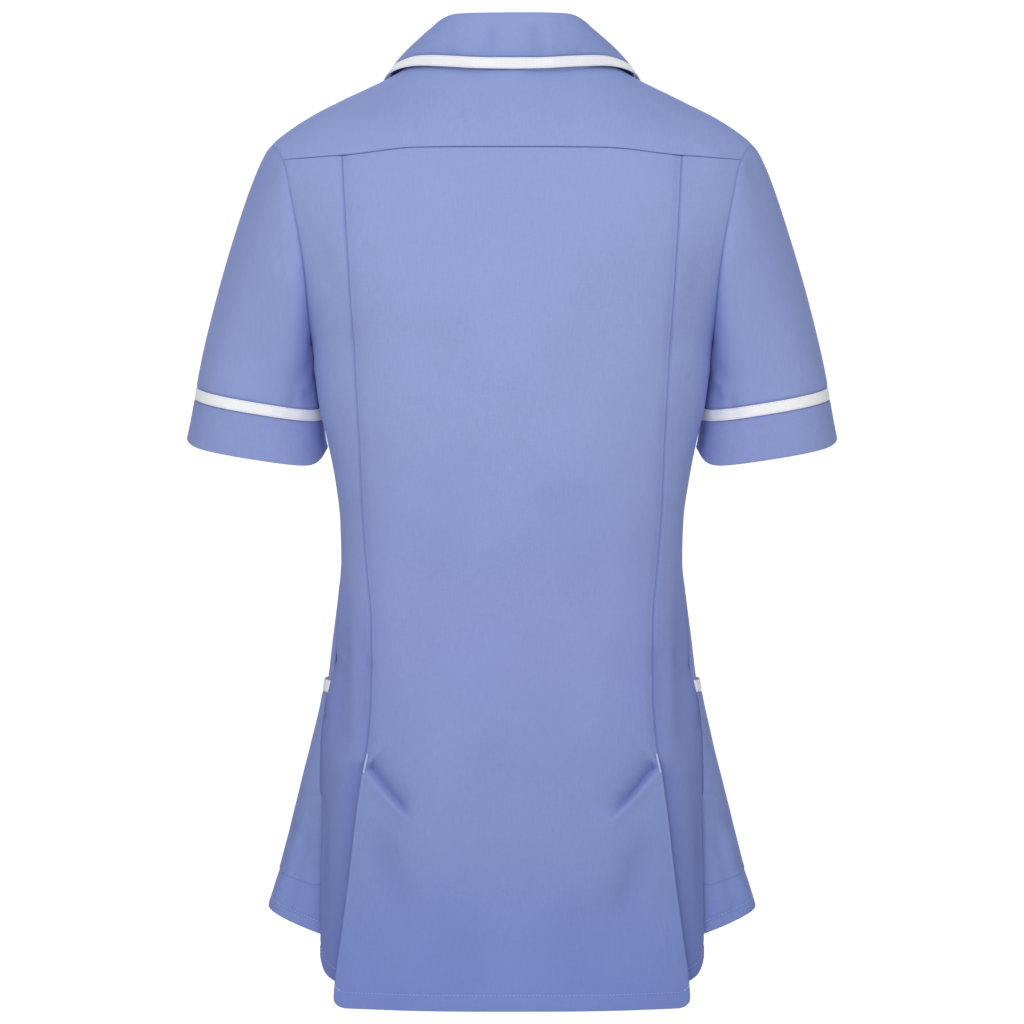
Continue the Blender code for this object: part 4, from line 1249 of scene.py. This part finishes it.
def collarFrame(t):
    # Seam, fold and edge points, with the up and outward directions and the fold's radius.
    fold = Vector([axis(t) for axis in collarFold])
    edge = Vector([axis(t) for axis in collarEdge])
    if t <= collar["side"]:
        x = collarSeam(t)
        seam = backPoint(x, neck["rise"] * (x / neck["side"]) ** 3)
    else:
        share = ((t - collar["side"]) / (1 - collar["side"])) ** 1.2
        z = neck["rise"] + (collar["end"] - neck["rise"]) * share
        seam = frontPoint(neckEdgeX(z), z)
    ahead = Vector([axis(min(t + 0.02, 1)) for axis in collarFold])
    behind = Vector([axis(max(t - 0.02, 0)) for axis in collarFold])
    if t < 0.02:
        behind = Vector((-ahead.x, ahead.y, ahead.z))
    stand = fold - seam
    up = ((fold - edge).normalized() + stand.normalized() * min(stand.length / 20, 1)).normalized()
    out = up.cross(ahead - behind).normalized()
    low, high = collar["fold"]
    return seam, fold, edge, up, out, low + (high - low) * min(stand.length / 25, 1)


def collarSection(t, row):
    # Row 0 to 1 is the stand, 1 to 2 the fold and 2 to 3 the fall, all on the left side.
    seam, fold, edge, up, out, radius = collarFrame(t)
    base = seam - out * 2.0 + up * collar["seat"]
    centre = fold - up * radius
    if row < 1:
        return base + (centre - out * radius - base) * row
    if row <= 2:
        turn = math.pi * (row - 1)
        return centre + out * radius * -math.cos(turn) + up * radius * math.sin(turn)
    start = centre + out * radius
    share = row - 2
    return start + (edge - start) * share + out * collar["bulge"] * math.sin(math.pi * share)


def collarPoint(u, row):
    point = collarSection(abs(u), row)
    return Vector((math.copysign(point.x, u) if u else 0.0, point.y, point.z))


def tapeShare(t):
    fold, edge = collarFrame(abs(t))[1:3]
    return 1 - collar["tape"] / (edge - fold).length


def collarCloth(u, row):
    return collarPoint(u, row if row <= 2 else 2 + (row - 2) * tapeShare(u))


def collarTape(u, row):
    return collarPoint(u, 2 + tapeShare(u) + (1 - tapeShare(u)) * row)


def makeCollar():
    half = [share / 190 for share in stations(0, [(186, 2.7), (190, 1.0)])]
    us = [-u for u in reversed(half)] + half[1:]
    rows = [-0.12] + [i / 7 for i in range(7)] + [1 + i / 8 for i in range(8)]
    rows += [2 + share / 46 for share in stations(0, [(43, 2.4), (46, 1.0)])]
    look = {"slot": "cloth", "thickness": collar["thickness"], "facing": 1, "seed": 31, "uneven": 0.8,
            "creases": [(collarCreases, collarPoint)],
            "borders": {"foot": "seam", "start": "soft", "end": "soft"}}
    makeCloth("collar", collarCloth, us, rows, look)
    rows = [share / 10 for share in stations(0, [(1.5, 0.75), (8.5, 1.4), (10, 0.75)])]
    look = dict(look, slot="tape", thickness=1.1, seed=34,
                borders={"top": "soft", "foot": "soft", "start": "soft", "end": "soft"})
    makeCloth("collar_tape", collarTape, us, rows, look)


makeCollar()
print("collar made")


# Hip pockets, laid on the fronts and bound with tape at the mouth

pocket = {
    "thickness": 0.6,
    "top": -487.0,
    "foot": -640.0,
    "mouth": (7.1 / 14, 13.96 / 14),  # share of the front's columns at which its edges lie
    "base": (7.9 / 14, 13.96 / 14),
    "lift": 0.75,
    "gape": 3.5,
    "gapeLength": 60.0,
    "tape": 9.5,
    "corner": 14.0,
    "width": 125.0,        # mm at the mouth, for the columns and the corners
    "normalStep": (0.0001, 0.02),  # share of the columns and mm, to find the way out of the front
}


def pocketPanel(top, foot):
    # A band of the pocket on the front's own form, with its mouth gaping.
    def place(across, down):
        level = top + (foot - top) * down
        share = ramp(level, pocket["top"], pocket["foot"])
        first, last = [a + (b - a) * share for a, b in zip(pocket["mouth"], pocket["base"])]
        u = first + (last - first) * across
        edge = min(across, 1 - across) * pocket["width"]
        level += cornerRise(edge, pocket["corner"]) * ramp(share, 0.6, 1.0)
        gape = pocket["gape"] * max(math.sin(math.pi * min(max(across, 0), 1)), 0.0) ** 0.7
        mouth = ramp(frontPanel(u, level).z, pocket["top"] - pocket["gapeLength"], pocket["top"]) ** 1.5
        wide, tall = pocket["normalStep"]
        sideways = frontPanel(min(u + wide, 1), level) - frontPanel(u - wide, level)
        downwards = frontPanel(u, level - tall) - frontPanel(u, level + tall)
        out = downwards.cross(sideways).normalized()
        return frontPanel(u, level) + out * (pocket["lift"] + gape * mouth)
    return place


def makePockets():
    us = [share / 125 for share in stations(0, [(3, 1.0), (122, 2.6), (125, 1.0)])]
    lower = pocket["top"] - pocket["tape"]
    rows = [share / 143 for share in stations(0, [(2, 1.0), (139, 2.8), (143, 1.0)])]
    look = {"slot": "cloth", "thickness": pocket["thickness"], "facing": -1, "seed": 41,
            "creases": [(frontCreases, frontAt)], "creasesRight": [(frontCreasesRight, frontAt)],
            "borders": {"start": "soft", "top": "seam"}, "tone": frontPaintedShadow}
    makePair("pocket", pocketPanel(lower, pocket["foot"]), us, rows, look)
    rows = [share / 10 for share in stations(0, [(1.5, 0.75), (8.5, 1.4), (10, 0.75)])]
    look = dict(look, slot="tape", seed=44,
                borders={"start": "soft", "end": "soft", "foot": "soft", "top": "soft"})
    makePair("pocket_tape", pocketPanel(pocket["top"], lower), us, rows, look)


makePockets()
print("pockets made")

# Sewing, as rows of stitches on the finished cloth

stitch = {
    "pitch": {"blue": 2.9, "pale": 2.9, "white": 2.9, "tack": 1.1},  # mm from stitch to stitch
    "length": 2.3,
    "thread": {"blue": 0.6, "pale": 0.45, "white": 0.42, "tack": 0.7},  # thickness
    "tackSpan": (-543.5, -557.0),  # heights of the bar tack at the head of each kick pleat
    "tackRows": (-0.4, 0.3),  # mm, its rows side by side
    "tackInset": 2.2,
}

threadRows = {"blue": [], "pale": [], "white": [], "tack": []}   # to be sewn, by kind of thread


def seamLine(name, border, inset, lift=0.08, span=(0.0, 1.0)):
    # Points on a finished cloth piece, an even distance in from one of its borders.
    cloth = cloths[name]
    grid, normals, away = cloth["grid"], cloth["normals"], cloth["away"][border]
    if border in ("start", "end"):
        grid, normals, away = [np.swapaxes(each, 0, 1) for each in (grid, normals, away)]
    if border in ("foot", "end"):
        grid, normals, away = grid[:, ::-1], normals[:, ::-1], away[:, ::-1]
    points = []
    for line, facing, gaps in zip(grid, normals, away):
        place = np.array([np.interp(inset, gaps, line[:, i]) for i in range(3)])
        out = np.array([np.interp(inset, gaps, facing[:, i]) for i in range(3)])
        points.append(place + out * lift)
    if cloth["ring"]:
        points.append(points[0])
    first, last = [round(share * (len(points) - 1)) for share in span]
    return points[first:last + 1]


def barTack(name, border, shift):
    # One straight row of the close tack over the fold's edge where the pleat opens.
    line = np.array(seamLine(name, border, stitch["tackInset"], 0.7))
    ends = [np.array([np.interp(-z, -line[:, 2], line[:, i]) for i in range(3)])
            for z in stitch["tackSpan"]]
    for end in ends:
        end += (shift, 0, 0)
        end[1] = max(ends[0][1], ends[1][1])
    return ends


def collectRows():
    both = ("left", "right")
    ditch = sewing["underlap"] + 0.5
    rows = [("back_centre", "foot", back["hemTurn"], "pale"), ("back_centre", "top", ditch, "blue")]
    rows += [("front_" + side, "foot", front["hemTurn"], "pale") for side in both]
    rows += [("front_" + side, "start", 6.0, "blue") for side in both]
    rows += [("back_side_" + side, "foot", back["sideHemTurn"], "pale") for side in both]
    rows += [("back_side_" + side, "top", ditch, "blue") for side in both]
    tapes = ["collar_tape"] + [tape + side for tape in ("sleeve_tape_", "pocket_tape_") for side in both]
    for tape in tapes:
        rows += [(tape, "top", 1.2, "white"), (tape, "foot", 1.2, "white")]
    for side in both:
        rows.append(("pocket_" + side, "start", 1.8, "blue"))
        rows += [("lapel_" + side, "end", 5.0, "blue"), ("lapel_" + side, "top", 5.0, "blue")]
    for name, border, inset, thread in rows:
        threadRows[thread].append(seamLine(name, border, inset))
    for border in ("end", "start"):
        threadRows["tack"] += [barTack("back_centre", border, shift) for shift in stitch["tackRows"]]
    for span in ((0.0, 0.035), (0.965, 1.0)):        # back stitches at the hem's corners
        threadRows["white"].append(seamLine("back_centre", "foot", back["hemTurn"], 0.16, span))


def stitchTree():
    # Lays a slim thread body on every step of the rows it is given.
    tree = bpy.data.node_groups.new("stitches", "GeometryNodeTree")
    sockets = {}
    for name, kind in (("Rows", "NodeSocketGeometry"), ("Pitch", "NodeSocketFloat"),
                       ("Length", "NodeSocketFloat"), ("Thread", "NodeSocketFloat"),
                       ("Seed", "NodeSocketInt"), ("Finish", "NodeSocketMaterial")):
        sockets[name] = tree.interface.new_socket(name, in_out="INPUT", socket_type=kind).identifier
    tree.interface.new_socket("Stitches", in_out="OUTPUT", socket_type="NodeSocketGeometry")
    given = tree.nodes.new("NodeGroupInput").outputs
    lines = addNode(tree, "GeometryNodeMeshToCurve", None, {"Mesh": given["Rows"]})
    steps = addNode(tree, "GeometryNodeResampleCurve", {"mode": "LENGTH"},
                    {"Curve": lines.outputs[0], "Length": given["Pitch"]})
    body = addNode(tree, "GeometryNodeMeshUVSphere", {"Segments": 6, "Rings": 4, "Radius": 0.5})
    size = addNode(tree, "ShaderNodeCombineXYZ", None,
                   {"X": given["Length"], "Y": given["Thread"], "Z": given["Thread"]})
    yarn = addNode(tree, "GeometryNodeTransform", None,
                   {"Geometry": body.outputs[0], "Scale": size.outputs[0]})
    tangent = addNode(tree, "GeometryNodeInputTangent")
    turn = addNode(tree, "FunctionNodeAlignRotationToVector", {"axis": "X"},
                   {"Vector": tangent.outputs[0]})
    vary = addNode(tree, "FunctionNodeRandomValue", {"data_type": "FLOAT_VECTOR", 0: (0.86, 0.85, 0.85),
                                                     1: (1.06, 1.15, 1.15)}, {"Seed": given["Seed"]})
    placed = addNode(tree, "GeometryNodeInstanceOnPoints", None,
                     {"Points": steps.outputs[0], "Instance": yarn.outputs[0],
                      "Rotation": turn.outputs[0], "Scale": vary.outputs[0]})
    real = addNode(tree, "GeometryNodeRealizeInstances", None, {"Geometry": placed.outputs[0]})
    dyed = addNode(tree, "GeometryNodeSetMaterial", None,
                   {"Geometry": real.outputs[0], "Material": given["Finish"]})
    result = tree.nodes.new("NodeGroupOutput")
    tree.links.new(dyed.outputs[0], result.inputs[0])
    return tree, sockets


def makeStitches(tree, sockets, thread, material, seed):
    points, edges = [], []
    for row in threadRows[thread]:
        first = len(points)
        points += [tuple(np.array(point) * mm) for point in row]
        edges += [(i, i + 1) for i in range(first, len(points) - 1)]
    rows = bpy.data.meshes.new(thread + "Rows")
    rows.from_pydata(points, edges, [])
    maker = bpy.data.objects.new(thread + "_stitches_rows", rows)
    bpy.context.scene.collection.objects.link(maker)
    nodes = maker.modifiers.new("stitches", "NODES")
    nodes.node_group = tree
    nodes[sockets["Pitch"]] = stitch["pitch"][thread] * mm
    nodes[sockets["Length"]] = stitch["length"] * mm
    nodes[sockets["Thread"]] = stitch["thread"][thread] * mm
    nodes[sockets["Seed"]] = seed
    nodes[sockets["Finish"]] = material
    graph = bpy.context.evaluated_depsgraph_get()
    mesh = bpy.data.meshes.new_from_object(maker.evaluated_get(graph))
    bpy.data.objects.remove(maker)
    mesh.shade_smooth()
    piece = bpy.data.objects.new(thread + "_stitches", mesh)
    bpy.context.scene.collection.objects.link(piece)
    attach(piece, "root")
    print(piece.name, len(mesh.polygons), "faces")


collectRows()
stitchNodes, stitchSockets = stitchTree()
makeStitches(stitchNodes, stitchSockets, "blue", blueThread, 1)
makeStitches(stitchNodes, stitchSockets, "pale", paleThread, 2)
makeStitches(stitchNodes, stitchSockets, "white", whiteThread, 3)
makeStitches(stitchNodes, stitchSockets, "tack", tackThread, 4)
print("stitches made")
